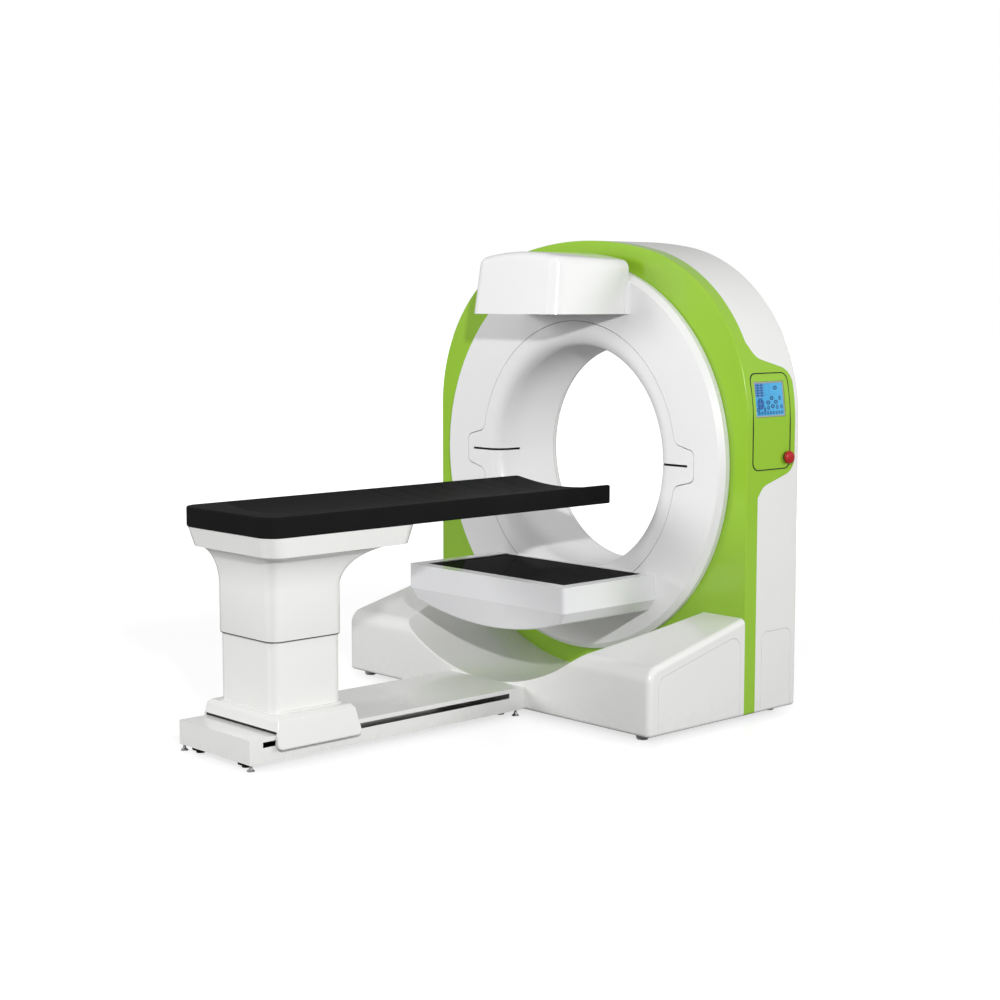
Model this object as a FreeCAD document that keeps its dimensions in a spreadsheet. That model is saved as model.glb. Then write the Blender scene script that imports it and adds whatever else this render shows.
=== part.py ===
"""A ring-gantry scanner with its patient couch, in millimetres.

The gantry is an arch-shaped cabinet on a two-footed plinth. A rotor turns in it about a
horizontal axis: a ring with a bore through it, an X-ray head in front at 12 o'clock and a
detector tray at 6 o'clock. A couch travels towards the bore on a floor rail.

+Z is up, the bore's axis lies along Y and the couch is on the -Y side. The origin is on the
floor, in the middle of the gantry's four anchor feet.
"""
import FreeCAD, Part
import math
import os

import Sketcher
from FreeCAD import Placement, Rotation, Vector

SIZES = {
    # the gantry's outline, seen from the front
    "gantry_half": 950,
    "front_top": 2003,
    "front_shoulder": 735,
    "front_crown": 1620,
    "rear_shoulder": 745,
    "rear_crown": 2018,
    "axis_z": 1050,
    "floor_gap": 23,
    "cabinet_wall": 8,
    # the gantry's depth
    "plinth_front": 450,
    "fascia_y": 130,
    "band_depth": 70,
    "cabinet_rear": 469,
    "rear_edge_round": 14,
    "fascia_edge_round": 5,
    "fascia_opening": 800,
    # the plinth: wedge feet with a cradle between them
    "foot_top": 434,
    "foot_nose": 293,
    "foot_nose_round": 66,
    "foot_side_round": 24,
    "skirt_round": 14,
    "cradle_front": 934,
    "cradle_back": 950,
    "cradle_edge_round": 6,
    "hatch_border": 54,
    "hatch_round": 50,
    "recess_depth": 4,
    "seam": 3,
    "rear_hatch_top": 362,
    "rear_hatch_inset": 38,
    "rear_hatch_border": 40,
    # the green pod on the flank, with the panel, the screen and the stop button
    "pod_back": 438,
    "pod_high": 1450,
    "pod_low": 1035,
    "pod_flare": 70,
    "pod_round": 75,
    "panel_round": 34,
    "panel_seam": 3.5,
    "flank_depth": 200,
    "overshoot": 20,
    "panel_front": 166,
    "panel_back": 403,
    "panel_low": 1046,
    "panel_high": 1441,
    "screen_wide": 192,
    "screen_tall": 148,
    "screen_thick": 22,
    "screen_fit": 0.4,
    "screen_y": 280,
    "screen_drop": 105,
    "screen_sunk": 6,
    "stop_y": 385,
    "stop_z": 1090,
    "stop_head": 29,
    "stop_thick": 17,
    "stop_stem": 10,
    "stop_collar": 23,
    "stop_collar_thick": 7,
    "stop_travel": 5,
    "stop_stem_deep": 22,
    "switch_deep": 34,
    # the rear cover
    "rear_border": 74,
    "rear_lap": 18,
    "vent_near": 392,
    "vent_wide": 10,
    "vent_pitch": 32,
    "vent_low": 190,
    "vent_high": 400,
    "bore_gap": 4,
    # the rotor: ring, liner and drum
    "ring_outer": 860,
    "ring_front": 80,
    "ring_bevel": 22,
    "ring_wall": 6,
    "ring_to_fascia": 4,
    "seam_circle": 600,
    "lobe_reach": 702,
    "lobe_half_tip": 62,
    "lobe_half_mid": 86,
    "lobe_half_root": 118,
    "lobe_round": 30,
    "bore_front": 493,
    "bore_rear": 480,
    "liner_back": 420,
    "bell_axial": 70,
    "liner_wall": 5,
    "slit_tall": 10,
    "slit_end": 668,
    "slit_deep": 132,
    "disc_outer": 790,
    "disc_inner": 585,
    "disc_front": 96,
    "disc_thick": 16,
    "drum_outer": 600,
    "drum_wall": 15,
    "drum_back": 300,
    "bearing_front": 180,
    "bearing_wide": 50,
    "race_split": 626,
    "race_outer": 665,
    "race_clearance": 0.4,
    "rim_outer": 640,
    "rim_wide": 38,
    "belt_thick": 6,
    "belt_wide": 30,
    "running_gap": 0.3,
    "pulley_radius": 45,
    "pulley_inset": 310,
    "pulley_z": 330,
    "pulley_wide": 38,
    "shaft_radius": 14,
    "shaft_fit": 0.05,
    "shaft_reach": 26,
    "shaft_end": 12,
    "motor_radius": 95,
    "motor_long": 85,
    "motor_flange": 107,
    "motor_flange_thick": 14,
    "frame_plate": 15,
    "frame_ring": 760,
    "frame_leg_inner": 420,
    "frame_leg_inset": 150,
    "gusset_gap": 13,
    "gusset_deep": 170,
    "gusset_top": 560,
    # the floor frame and its anchor feet
    "floor_beam_wide": 62,
    "floor_beam_tall": 40,
    "beam_setback": 20,
    "foot_radius": 26,
    "anchor_side": 85,
    "anchor_inset": 55,
    "anchor_hole": 7,
    # the X-ray head
    "head_rear_half": 321,
    "head_front_half": 261,
    "head_low": 633,
    "head_high": 899,
    "head_crown": 1240,
    "head_reach": 388,
    "head_draw": 21,
    "head_lean": 43,
    "head_taper": 5,
    "head_flare": 20,
    "head_corner": 62,
    "head_edge": 42,
    "head_wall": 5,
    "head_arm_half": 150,
    "head_arm_z": 700,
    "head_arm_thick": 14,
    "head_arm_setback": 60,
    "head_arm_drop": 30,
    "head_arm_rise": 50,
    "tube_radius": 68,
    "tube_long": 300,
    "tube_setback": 155,
    "tube_neck": 30,
    "beam_half": 80,
    "beam_near": 60,
    "beam_far": 250,
    "beam_clear": 0.3,
    "collimator_inset": 5,
    # the detector tray
    "tray_half": 490,
    "tray_front": 469,
    "tray_top": 478,
    "tray_side": 108,
    "tray_wall": 5,
    "tray_flank_draw": 78,
    "tray_front_draw": 30,
    "tray_belly": 1500,
    "tray_edge": 9,
    "tray_depth": 705,
    "tray_rim": 58,
    "tray_corner": 16,
    "glass_thick": 6,
    "glass_recess": 4,
    "detector_half": 215,
    "detector_thick": 48,
    "tray_arm_half": 200,
    "tray_arm_thick": 30,
    "tray_arm_rise": 50,
    "tray_arm_setback": 70,
    "tray_post_half": 60,
    "tray_post_near": 100,
    "tray_post_far": 420,
    "arm_clear": 5,
    "detector_setback": 40,
    "detector_drop": 20,
    "weight_x": 330,
    "weight_outer_gap": 15,
    "weight_inner_gap": 40,
    "weight_half": 83,
    "weight_thick": 36,
    # the couch rail on the floor
    "rail_half": 235,
    "rail_near": 1852,
    "rail_low": 26,
    "rail_high": 121,
    "rail_wall": 4,
    "slot_near": 1791,
    "slot_far": 533,
    "slot_low": 82.5,
    "slot_high": 104,
    "guide_x": 130,
    "guide_wide": 30,
    "guide_tall": 24,
    "guide_inset": 60,
    "pad_radius": 33,
    "pad_x": 153,
    "pad_inset": 42,
    "pad_far": 62,
    "screw_foot_radius": 15,
    "screw_foot_inset": 13,
    "screw_foot_far": 37,
    # the carriage, its saddle and the lower column
    "carriage_y": 1537,
    "plate_half": 130,
    "plate_low": 85,
    "plate_thick": 16,
    "block_half_long": 45,
    "block_half_wide": 34,
    "block_spread": 80,
    "block_rise": 3,
    "saddle_low": 66,
    "saddle_bend": 172,
    "saddle_top": 187,
    "saddle_half_low": 262,
    "saddle_half_bend": 238,
    "saddle_half_top": 220,
    "saddle_long_low": 204,
    "saddle_long_bend": 186,
    "saddle_long_top": 178,
    "saddle_round": 26,
    "saddle_rail_gap": 12,
    "saddle_side_gap": 4,
    "column_top": 685,
    "column_wall": 8,
    "sleeve_half_x": 190,
    "sleeve_half_y": 173,
    "sleeve_low": 462,
    "sleeve_wall": 7,
    "sleeve_round": 50,
    "sleeve_clearance": 1.5,
    "flare_start": 645,
    "lift_tube_radius": 46,
    "lift_rod_radius": 34,
    "lift_fit": 0.08,
    "lift_floor": 10,
    "lift_below": 110,
    "lift_head_room": 40,
    # the frame under the top, and the top
    "tub_low": 795,
    "tub_near": 1790,
    "tub_far": 1065,
    "tub_half": 296,
    "tub_draft": 14,
    "tub_end_draft": 20,
    "tub_round": 72,
    "tub_wall": 8,
    "flare_inset": 10,
    "cross_rail_end_gap": 10,
    "cross_rail_wide": 30,
    "cross_rail_tall": 36,
    "cross_rail_inset": 150,
    "runner_half": 30,
    "runner_x": 150,
    "top_low": 871,
    "top_high": 950,
    "top_near": 1796,
    "top_far": 6,
    "top_overhang": 2,
    "top_round_near": 75,
    "top_round_far": 10,
    "top_edge": 7,
    "dish_half": 280,
    "dish_depth": 28,
    "dish_near": 1700,
    "dish_run_out": 110,
    "groove_wide": 3,
    "groove_depth": 1.5,
    "groove_first": 150,
    "groove_pitch": 118,
}
GROOVES = 7
VENTS = 11

doc = FreeCAD.newDocument("Scanner")
sheet = doc.addObject("Spreadsheet::Sheet", "Sizes")
kept = []


class Size:
    """A length that carries its formula on the size sheet as well as its value."""

    def __init__(self, value, formula):
        self.value = value
        self.formula = formula

    def __add__(self, other):
        return Size(self.value + number(other), "(%s + %s)" % (self.formula, formula(other)))

    def __radd__(self, other):
        return Size(number(other) + self.value, "(%s + %s)" % (formula(other), self.formula))

    def __sub__(self, other):
        return Size(self.value - number(other), "(%s - %s)" % (self.formula, formula(other)))

    def __rsub__(self, other):
        return Size(number(other) - self.value, "(%s - %s)" % (formula(other), self.formula))

    def __mul__(self, other):
        return Size(self.value * number(other), "(%s * %s)" % (self.formula, formula(other)))

    def __rmul__(self, other):
        return self.__mul__(other)

    def __truediv__(self, other):
        return Size(self.value / number(other), "(%s / %s)" % (self.formula, formula(other)))

    def __neg__(self):
        return Size(-self.value, "(-1 * %s)" % self.formula)


def number(size):
    """The plain value of a size or of a number."""
    return size.value if isinstance(size, Size) else float(size)


def formula(size):
    """The sheet formula of a size or of a number."""
    return size.formula if isinstance(size, Size) else "%.9g" % size


def root(size):
    """The square root of a size."""
    return Size(math.sqrt(size.value), "sqrt(%s)" % size.formula)


class Sheet:
    """Gives each cell of the size sheet by its alias, as a Size."""

    def __init__(self, values):
        for row, (name, value) in enumerate(values.items(), 1):
            sheet.set("A%d" % row, name)
            sheet.set("B%d" % row, str(value))
            sheet.setAlias("B%d" % row, name)
            setattr(self, name, Size(float(value), "Sizes." + name))
        doc.recompute()


s = Sheet(SIZES)


# ---------------------------------------------------------------- building helpers

def bind(thing, prop, size):
    """Ties a property to the sheet, or sets it where the size is a plain number."""
    if isinstance(size, Size):
        thing.setExpression(prop, size.formula)
    else:
        thing.setExpression(prop, "%.9g" % size)


def put(thing, at, turn=None):
    """Places a thing; at holds sizes or numbers, turn an axis and an angle."""
    rotation = Rotation(Vector(*turn[0]), turn[1]) if turn else Rotation()
    thing.Placement = Placement(Vector(*[number(a) for a in at]), rotation)
    for letter, size in zip("xyz", at):
        if isinstance(size, Size):
            thing.setExpression("Placement.Base." + letter, size.formula)
    return thing


def box(name, low, high):
    """A block between two corners."""
    block = doc.addObject("Part::Box", name)
    for prop, a, b in zip(("Length", "Width", "Height"), low, high):
        bind(block, prop, b - a)
    return put(block, low)


ALONG = {"x": ((0, 1, 0), 90), "y": ((1, 0, 0), -90), "z": None}


def rod(name, radius, length, at, along="y"):
    """A cylinder that starts at a point and runs along an axis."""
    bar = doc.addObject("Part::Cylinder", name)
    bind(bar, "Radius", radius)
    bind(bar, "Height", length)
    return put(bar, at, ALONG[along])


def cone(name, first, last, length, at, along="y"):
    """A truncated cone that starts at a point and runs along an axis."""
    bar = doc.addObject("Part::Cone", name)
    bind(bar, "Radius1", first)
    bind(bar, "Radius2", last)
    bind(bar, "Height", length)
    return put(bar, at, ALONG[along])


def tube(name, outer, inner, front, back, centre_z):
    """A plain ring about the bore's axis."""
    ring = cut(name, rod(name + "_disc", outer, back - front, (0, front, centre_z)),
               rod(name + "_hole", inner, back - front + 2, (0, front - 1, centre_z)))
    return ring


def fuse(name, *parts):
    """One shape from several."""
    joined = doc.addObject("Part::MultiFuse", name)
    joined.Shapes = list(parts)
    return joined


def common(name, first, second):
    """What two shapes share."""
    shared = doc.addObject("Part::MultiCommon", name)
    shared.Shapes = [first, second]
    return shared


def cut(name, base, *tools):
    """A shape with one or more others taken out of it."""
    rest = doc.addObject("Part::Cut", name)
    rest.Base = base
    rest.Tool = tools[0] if len(tools) == 1 else fuse(name + "_tools", *tools)
    return rest


def keep(node, thing):
    """Marks a finished sub-part and gives it its name."""
    thing.Label = node
    kept.append((node, thing))
    return thing


def new_body(name):
    return doc.addObject("PartDesign::Body", name)


def new_sketch(body, role, offset=None):
    """A sketch on one of the body's own origin planes, moved along the plane's normal."""
    sketch = body.newObject("Sketcher::SketchObject", body.Name + "_outline")
    plane = [f for f in body.Origin.OriginFeatures if f.Role == role][0]
    sketch.AttachmentSupport = (plane, "")
    sketch.MapMode = "FlatFace"
    if offset is not None:
        bind(sketch, "AttachmentOffset.Base.z", offset)
    return sketch


def pin(sketch, geometry, end, x, y):
    """Holds one end of a sketch line or arc at a place given by two sizes."""
    for kind, size in (("DistanceX", x), ("DistanceY", y)):
        index = sketch.addConstraint(Sketcher.Constraint(kind, -1, 1, geometry, end, number(size)))
        if isinstance(size, Size):
            sketch.setExpression("Constraints[%d]" % index, size.formula)


def draw(sketch, points, arcs=None):
    """A closed outline through points; arcs maps a side's number to its (radius, bulge).

    A bulge of 1 puts the arc's middle to the left of the way the outline runs, -1 to the right.
    """
    count = len(points)
    ends = []
    for i in range(count):
        a = Vector(number(points[i][0]), number(points[i][1]), 0)
        b = Vector(number(points[(i + 1) % count][0]), number(points[(i + 1) % count][1]), 0)
        if arcs and i in arcs:
            radius, bulge = arcs[i]
            half = (b - a).Length / 2
            left = Vector(a.y - b.y, b.x - a.x, 0).normalize()
            rise = number(radius) - math.sqrt(max(number(radius) ** 2 - half ** 2, 0))
            middle = (a + b) / 2 + left * (bulge * rise)
            clockwise = bulge > 0
            sketch.addGeometry(Part.Arc(b, middle, a) if clockwise else Part.Arc(a, middle, b))
            ends.append((2, 1) if clockwise else (1, 2))
        else:
            sketch.addGeometry(Part.LineSegment(a, b))
            ends.append((1, 2))
    for i in range(count):
        nxt = (i + 1) % count
        sketch.addConstraint(Sketcher.Constraint("Coincident", i, ends[i][1], nxt, ends[nxt][0]))
        pin(sketch, i, ends[i][0], points[i][0], points[i][1])
        if arcs and i in arcs:
            index = sketch.addConstraint(Sketcher.Constraint("Radius", i, number(arcs[i][0])))
            if isinstance(arcs[i][0], Size):
                sketch.setExpression("Constraints[%d]" % index, arcs[i][0].formula)
    return sketch


def rounded(sketch, x0, x1, y0, y1, radius):
    """A rectangle with four equal round corners."""
    points = [(x0 + radius, y0), (x1 - radius, y0), (x1, y0 + radius), (x1, y1 - radius),
              (x1 - radius, y1), (x0 + radius, y1), (x0, y1 - radius), (x0, y0 + radius)]
    return draw(sketch, points, {i: (radius, -1) for i in (1, 3, 5, 7)})


def pad(body, sketch, length, reverse=False, both=False):
    """Extrudes a sketch."""
    feature = body.newObject("PartDesign::Pad", body.Name + "_pad")
    feature.Profile = sketch
    bind(feature, "Length", length)
    feature.Reversed = reverse
    feature.Midplane = both
    return feature


def loft(body, first, *rest):
    """A solid skinned over sketches with straight lines."""
    feature = body.newObject("PartDesign::AdditiveLoft", body.Name + "_loft")
    feature.Profile = first
    feature.Sections = list(rest)
    feature.Ruled = True
    return feature


def revolve(body, sketch):
    """Turns a sketch a full turn about the body's own Y axis."""
    feature = body.newObject("PartDesign::Revolution", body.Name + "_turned")
    feature.Profile = sketch
    axis = [f for f in body.Origin.OriginFeatures if f.Role == "Y_Axis"][0]
    feature.ReferenceAxis = (axis, [""])
    feature.Angle = 360
    return feature


def round_edges(body, feature, radius, wanted):
    """Rounds those edges of a feature for which wanted(middle, direction) is true."""
    doc.recompute()
    names = []
    for i, edge in enumerate(feature.Shape.Edges, 1):
        middle = edge.valueAt((edge.FirstParameter + edge.LastParameter) / 2)
        ends = edge.valueAt(edge.LastParameter) - edge.valueAt(edge.FirstParameter)
        way = ends.normalize() if ends.Length > 1e-6 else Vector()
        if wanted(middle, way):
            names.append("Edge%d" % i)
    if not names:
        raise ValueError("no edge to round on " + body.Name)
    fillet = body.newObject("PartDesign::Fillet", body.Name + "_round")
    fillet.Base = (feature, names)
    bind(fillet, "Radius", radius)
    return fillet


def soften(name, base, radius, wanted):
    """Rounds those edges of any shape for which wanted(middle, direction) is true."""
    doc.recompute()
    chosen = []
    for i, edge in enumerate(base.Shape.Edges, 1):
        middle = edge.valueAt((edge.FirstParameter + edge.LastParameter) / 2)
        ends = edge.valueAt(edge.LastParameter) - edge.valueAt(edge.FirstParameter)
        way = ends.normalize() if ends.Length > 1e-6 else Vector()
        if wanted(middle, way):
            chosen.append((i, number(radius), number(radius)))
    if not chosen:
        raise ValueError("no edge to round on " + name)
    rounding = doc.addObject("Part::Fillet", name)
    rounding.Base = base
    rounding.Edges = chosen
    return rounding


def near(a, b, slack=0.5):
    return abs(a - number(b)) < slack


# ---------------------------------------------------------------- the arch-shaped cabinet

def shoulder_height(half, top, shoulder, crown):
    """The height at which the straight flanks meet the shoulder arcs."""
    lean = half - shoulder
    return top - crown + root((crown - shoulder) * (crown - shoulder) - lean * lean)


def arch(sketch, half, top, shoulder, crown, low):
    """The gantry's outline: straight sides, two shoulder arcs and a flatter crown arc."""
    crown_z = top - crown
    lean = half - shoulder
    shoulder_z = shoulder_height(half, top, shoulder, crown)
    share = crown / (crown - shoulder)
    meet_x = lean * share
    meet_z = crown_z + (shoulder_z - crown_z) * share
    points = [(-half, low), (half, low), (half, shoulder_z), (meet_x, meet_z),
              (-meet_x, meet_z), (-half, shoulder_z)]
    return draw(sketch, points, {2: (shoulder, -1), 3: (crown, -1), 4: (shoulder, -1)})


def cabinet(name, inset, low):
    """The whole cabinet as a solid, shrunk by an inset: a straight band, then a drafted rear."""
    body = new_body(name)
    at_front = (s.gantry_half - inset, s.front_top - inset, s.front_shoulder - inset,
                s.front_crown - inset)
    at_back = (s.gantry_half - inset, s.front_top - inset, s.rear_shoulder - inset, s.rear_crown - inset)
    front = s.fascia_y + inset
    back = s.cabinet_rear - inset
    outline = arch(new_sketch(body, "XZ_Plane", -front), *at_front, low)
    pad(body, outline, band_back - front, reverse=True)
    waist = arch(new_sketch(body, "XZ_Plane", -band_back), *at_front, low)
    rear = arch(new_sketch(body, "XZ_Plane", -back), *at_back, low)
    drafted = loft(body, waist, rear)
    at_foot = 0.5 if inset else -1
    rounded_rear = round_edges(
        body, drafted, s.rear_edge_round - inset,
        lambda p, d: (near(p.y, back) and p.z > number(low) + at_foot)
        or (not inset and near(p.z, low) and near(abs(p.x), s.gantry_half)))
    if not inset:
        round_edges(body, rounded_rear, s.fascia_edge_round,
                    lambda p, d: near(p.y, front) and p.z > number(low) + 0.5)
    return body


band_back = s.fascia_y + s.band_depth
wall = s.cabinet_wall
outer = cabinet("cabinet_outer", 0, s.floor_gap)
inner = cabinet("cabinet_inner", wall, s.floor_gap + s.rear_edge_round)
flange = 2 * wall
floor_way = box("floor_way", (-s.gantry_half + flange, s.fascia_y + flange, 0),
                (s.gantry_half - flange, s.cabinet_rear - flange, s.floor_gap + s.rear_edge_round + 1))
skin = cut("cabinet_skin", outer, inner, floor_way)


def side_prism(name, points, radius, start, stop, beyond=-5000):
    """A block across X from an outline in Y and Z; its corners beyond a Y are rounded."""
    body = new_body(name)
    outline = draw(new_sketch(body, "YZ_Plane", start), points)
    block = pad(body, outline, stop - start)
    round_edges(body, block, radius, lambda p, d: abs(d.x) > 0.99 and p.y > number(beyond))
    return body


def pod(name, grow):
    """The flank's green pod: it leaves the band in two slopes and reaches almost to the rear."""
    back = s.pod_back + grow
    high = s.pod_high + grow
    low = s.pod_low - grow
    root_y = band_back - 30
    points = [(root_y, low - 1.75 * s.pod_flare), (band_back, low - 1.5 * s.pod_flare),
              (band_back + 0.5 * s.pod_flare, low - 0.85 * s.pod_flare), (back, low),
              (back, high), (band_back + 0.5 * s.pod_flare, high + 0.8 * s.pod_flare),
              (band_back, high + 1.7 * s.pod_flare), (root_y, high + 2.2 * s.pod_flare)]
    return side_prism(name, points, s.pod_round, s.gantry_half - s.flank_depth,
                      s.gantry_half + s.overshoot, band_back + 1)


before_band = box("before_band", (-s.gantry_half - s.overshoot, s.fascia_y - s.overshoot, 0),
                  (s.gantry_half + s.overshoot, band_back, s.front_top + s.overshoot))
green_zone = fuse("green_zone", before_band, pod("pod_solid", 0))
white_gap = fuse("white_gap", before_band, pod("pod_clear", 0.4))
beam_passage = box("beam_passage", (-s.gantry_half + flange, s.fascia_y - s.overshoot, 0),
                   (s.gantry_half - flange, s.cabinet_rear - flange,
                    s.floor_gap + s.floor_beam_tall + s.seam))

# the control panel's recess in the green skin
recess_floor = cabinet("recess_floor", s.recess_depth, s.floor_gap)


def panel(name, grow):
    """The control panel's outline through the flank."""
    y0, y1 = s.panel_front - grow, s.panel_back + grow
    z0, z1 = s.panel_low - grow, s.panel_high + grow
    return side_prism(name, [(y0, z0), (y1, z0), (y1, z1), (y0, z1)], s.panel_round,
                      s.gantry_half - s.flank_depth, s.gantry_half + s.overshoot)


def screen_block(name, grow, mouth):
    """The touch screen, sunk in the flank where the shoulder leans in; mouth opens it outwards."""
    screen_z = s.panel_high - s.screen_drop
    rise = screen_z - shoulder_height(s.gantry_half, s.front_top, s.front_shoulder, s.front_crown)
    tilt = math.degrees(math.asin(number(rise / s.front_shoulder)))
    face_x = s.gantry_half - s.front_shoulder + root(s.front_shoulder * s.front_shoulder - rise * rise)
    block = doc.addObject("Part::Box", name)
    bind(block, "Length", s.screen_thick + grow + mouth)
    bind(block, "Width", s.screen_wide + 2 * grow)
    bind(block, "Height", s.screen_tall + 2 * grow)
    turn = Rotation(Vector(0, 1, 0), -tilt)
    back = s.screen_sunk + s.screen_thick + grow
    corner = turn.multVec(Vector(-number(back), -number(s.screen_wide / 2 + grow),
                                 -number(s.screen_tall / 2 + grow)))
    put(block, (face_x + corner.x, s.screen_y + corner.y, screen_z + corner.z), ((0, 1, 0), -tilt))
    return block


screen_seat = screen_block("screen_seat", s.screen_fit, 3 * s.screen_sunk)


def stem_hole(name, deeper):
    """The way of the stop button's stem through the flank."""
    deep = s.stop_stem_deep + deeper
    return rod(name, s.stop_stem + s.running_gap, deep + 1, (s.gantry_half - deep, s.stop_y, s.stop_z),
               "x")


panel_recess = cut("panel_recess", panel("panel_clear", s.panel_seam), recess_floor)
fascia_hole = rod("fascia_hole", s.fascia_opening, s.band_depth,
                  (0, s.fascia_y - s.overshoot, s.axis_z))
green_skin = common("green_skin", skin, green_zone)
keep("front_fascia", cut("front_fascia", green_skin, fascia_hole, beam_passage, panel_recess, screen_seat,
                         stem_hole("fascia_stem_hole", 0)))
panel_plate = common("panel_plate", outer, panel("panel_solid", 0))
keep("control_panel", cut("control_panel", panel_plate, recess_floor, screen_seat,
                          stem_hole("panel_stem_hole", 0)))
keep("touch_screen", screen_block("touch_screen", 0, 0))

# the emergency stop: a mushroom that is pushed in through its collar towards the switch block
collar_ring = rod("collar_ring", s.stop_collar, s.stop_collar_thick,
                  (s.gantry_half, s.stop_y, s.stop_z), "x")
collar_hole = rod("collar_hole", s.stop_stem + s.running_gap, s.stop_collar_thick + 2,
                  (s.gantry_half - 1, s.stop_y, s.stop_z), "x")
keep("stop_collar", cut("stop_collar", collar_ring, collar_hole))
switch_face = s.gantry_half - wall
block_half = 1.4 * s.stop_stem
switch_box = box("switch_box", (switch_face - s.switch_deep, s.stop_y - block_half, s.stop_z - block_half),
                 (switch_face, s.stop_y + block_half, s.stop_z + block_half))
switch_hole = stem_hole("switch_hole", s.stop_travel + 1)
keep("stop_switch", cut("stop_switch", switch_box, switch_hole))


def stop_button():
    """The mushroom head and its stem, turned in one piece."""
    body = new_body("stop_button")
    gap = s.stop_travel + 1
    under = s.stop_collar_thick + gap
    front = under + s.stop_thick
    dome = s.stop_thick / 2
    points = [(0, -s.stop_stem_deep), (s.stop_stem, -s.stop_stem_deep), (s.stop_stem, under),
              (s.stop_head - 4, under), (s.stop_head, under + 5), (s.stop_head, front - dome),
              (s.stop_head * 0.45, front), (0, front)]
    outline = draw(new_sketch(body, "XY_Plane"), points, {5: (s.stop_head * 0.9, -1)})
    revolve(body, outline)
    put(body, (s.gantry_half, s.stop_y, s.stop_z), ((0, 0, 1), -90))
    return body


keep("stop_button", stop_button())

# ---------------------------------------------------------------- the white rear of the cabinet

def rear_arch(name, inset, front, back):
    """An arch-shaped plate, parallel to the cabinet's rear outline."""
    body = new_body(name)
    low = s.floor_gap + inset
    outline = arch(new_sketch(body, "XZ_Plane", -front), s.gantry_half - inset, s.front_top - inset,
                   s.rear_shoulder - inset, s.rear_crown - inset, low)
    pad(body, outline, back - front, reverse=True)
    return body


def rear_hatch(name, side, grow, depth):
    """The service hatch low on each flank of the white housing; it runs off the lower edge."""
    y0 = band_back + s.rear_hatch_border - grow
    y1 = s.cabinet_rear - s.rear_hatch_inset + grow
    points = [(y0, 0), (y1, 0), (y1, s.rear_hatch_top + grow), (y0, s.rear_hatch_top + grow)]
    out = s.overshoot if grow else 0
    start = s.gantry_half - depth if side > 0 else -s.gantry_half - out
    stop = s.gantry_half + out if side > 0 else -s.gantry_half + depth
    return side_prism(name, points, s.panel_round, start, stop)


rear_mouth = rear_arch("rear_mouth", s.rear_border, s.cabinet_rear - 2 * wall,
                       s.cabinet_rear + s.overshoot)
housing_tools = [white_gap, rear_mouth, beam_passage]
for tag, side in (("right", 1), ("left", -1)):
    housing_tools.append(rear_hatch("rear_recess_" + tag, side, s.seam / 2, s.recess_depth))
    keep("rear_hatch_" + tag,
         common("rear_hatch_" + tag, rear_hatch("rear_plate_" + tag, side, 0, s.recess_depth), outer))
keep("rear_housing", cut("rear_housing", skin, *housing_tools))

cover_plate = rear_arch("cover_plate", s.rear_border + s.seam, s.cabinet_rear - wall - 1, s.cabinet_rear)
cover_lap = rear_arch("cover_lap", s.rear_border - s.rear_lap, s.cabinet_rear - 2 * wall,
                      s.cabinet_rear - wall)
cover_lip = s.liner_back + s.bore_gap
flare = s.cabinet_rear - cover_lip


def rear_trim():
    """The flared ring of the rear opening, which starts just behind the turning liner."""
    body = new_body("rear_trim")
    inside = s.bore_rear + s.bore_gap / 2
    points = [(inside, cover_lip), (inside + flare, s.cabinet_rear),
              (inside + flare, s.cabinet_rear - s.liner_wall), (inside + s.liner_wall, cover_lip)]
    arcs = {0: (flare, 1), 2: (flare - s.liner_wall, -1)}
    revolve(body, draw(new_sketch(body, "XY_Plane"), points, arcs))
    put(body, (0, 0, s.axis_z))
    return body


cover_bore = rod("cover_bore", s.bore_rear + s.bore_gap / 2 + flare, 4 * wall,
                 (0, s.cabinet_rear - 3 * wall, s.axis_z))
vents = []
for i in range(VENTS):
    x0 = s.vent_near + i * s.vent_pitch
    for tag, x in (("right", x0), ("left", -x0 - s.vent_wide)):
        vents.append(box("vent_%s_%d" % (tag, i), (x, s.cabinet_rear - 3 * wall, s.vent_low),
                         (x + s.vent_wide, s.cabinet_rear + wall, s.vent_high)))
keep("rear_cover", cut("rear_cover", fuse("cover_plates", cover_plate, cover_lap), cover_bore, *vents))
keep("rear_trim", rear_trim())

# ---------------------------------------------------------------- the plinth

slope = (s.foot_top - s.foot_nose) / (s.plinth_front + s.fascia_y)


def wedge(name, inset, low, rounded_edges):
    """Both wedge feet as one block across the gantry."""
    body = new_body(name)
    drop = inset * 1.03
    points = [(-s.plinth_front + inset, low), (s.fascia_y, low), (s.fascia_y, s.foot_top - drop),
              (-s.plinth_front + inset, s.foot_nose - drop + slope * inset)]
    outline = draw(new_sketch(body, "YZ_Plane"), points)
    block = pad(body, outline, 2 * (s.gantry_half - inset), both=True)
    nose = round_edges(body, block, s.foot_nose_round - inset,
                       lambda p, d: abs(d.x) > 0.99 and p.z > 100 and p.y < s.fascia_y.value - 10)
    if rounded_edges:
        half = s.gantry_half.value
        sides = round_edges(body, nose, s.foot_side_round,
                            lambda p, d: abs(abs(p.x) - half) < 0.5 and p.z > low.value + 1
                            and p.y < s.fascia_y.value - 1)
        round_edges(body, sides, s.skirt_round, lambda p, d: near(p.z, low) and p.y < s.fascia_y.value - 1)
    return body


cradle_rate = (s.cradle_back - s.cradle_front) / (s.plinth_front + s.fascia_y)


def cradle(name, grow):
    """The dished way between the feet that the head and the tray sweep through."""
    reach = s.overshoot
    rate = cradle_rate
    return cone(name, s.cradle_front + grow - rate * reach, s.cradle_back + grow + rate * reach,
                s.plinth_front + s.fascia_y + 2 * reach, (0, -s.plinth_front - reach, s.axis_z))


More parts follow.
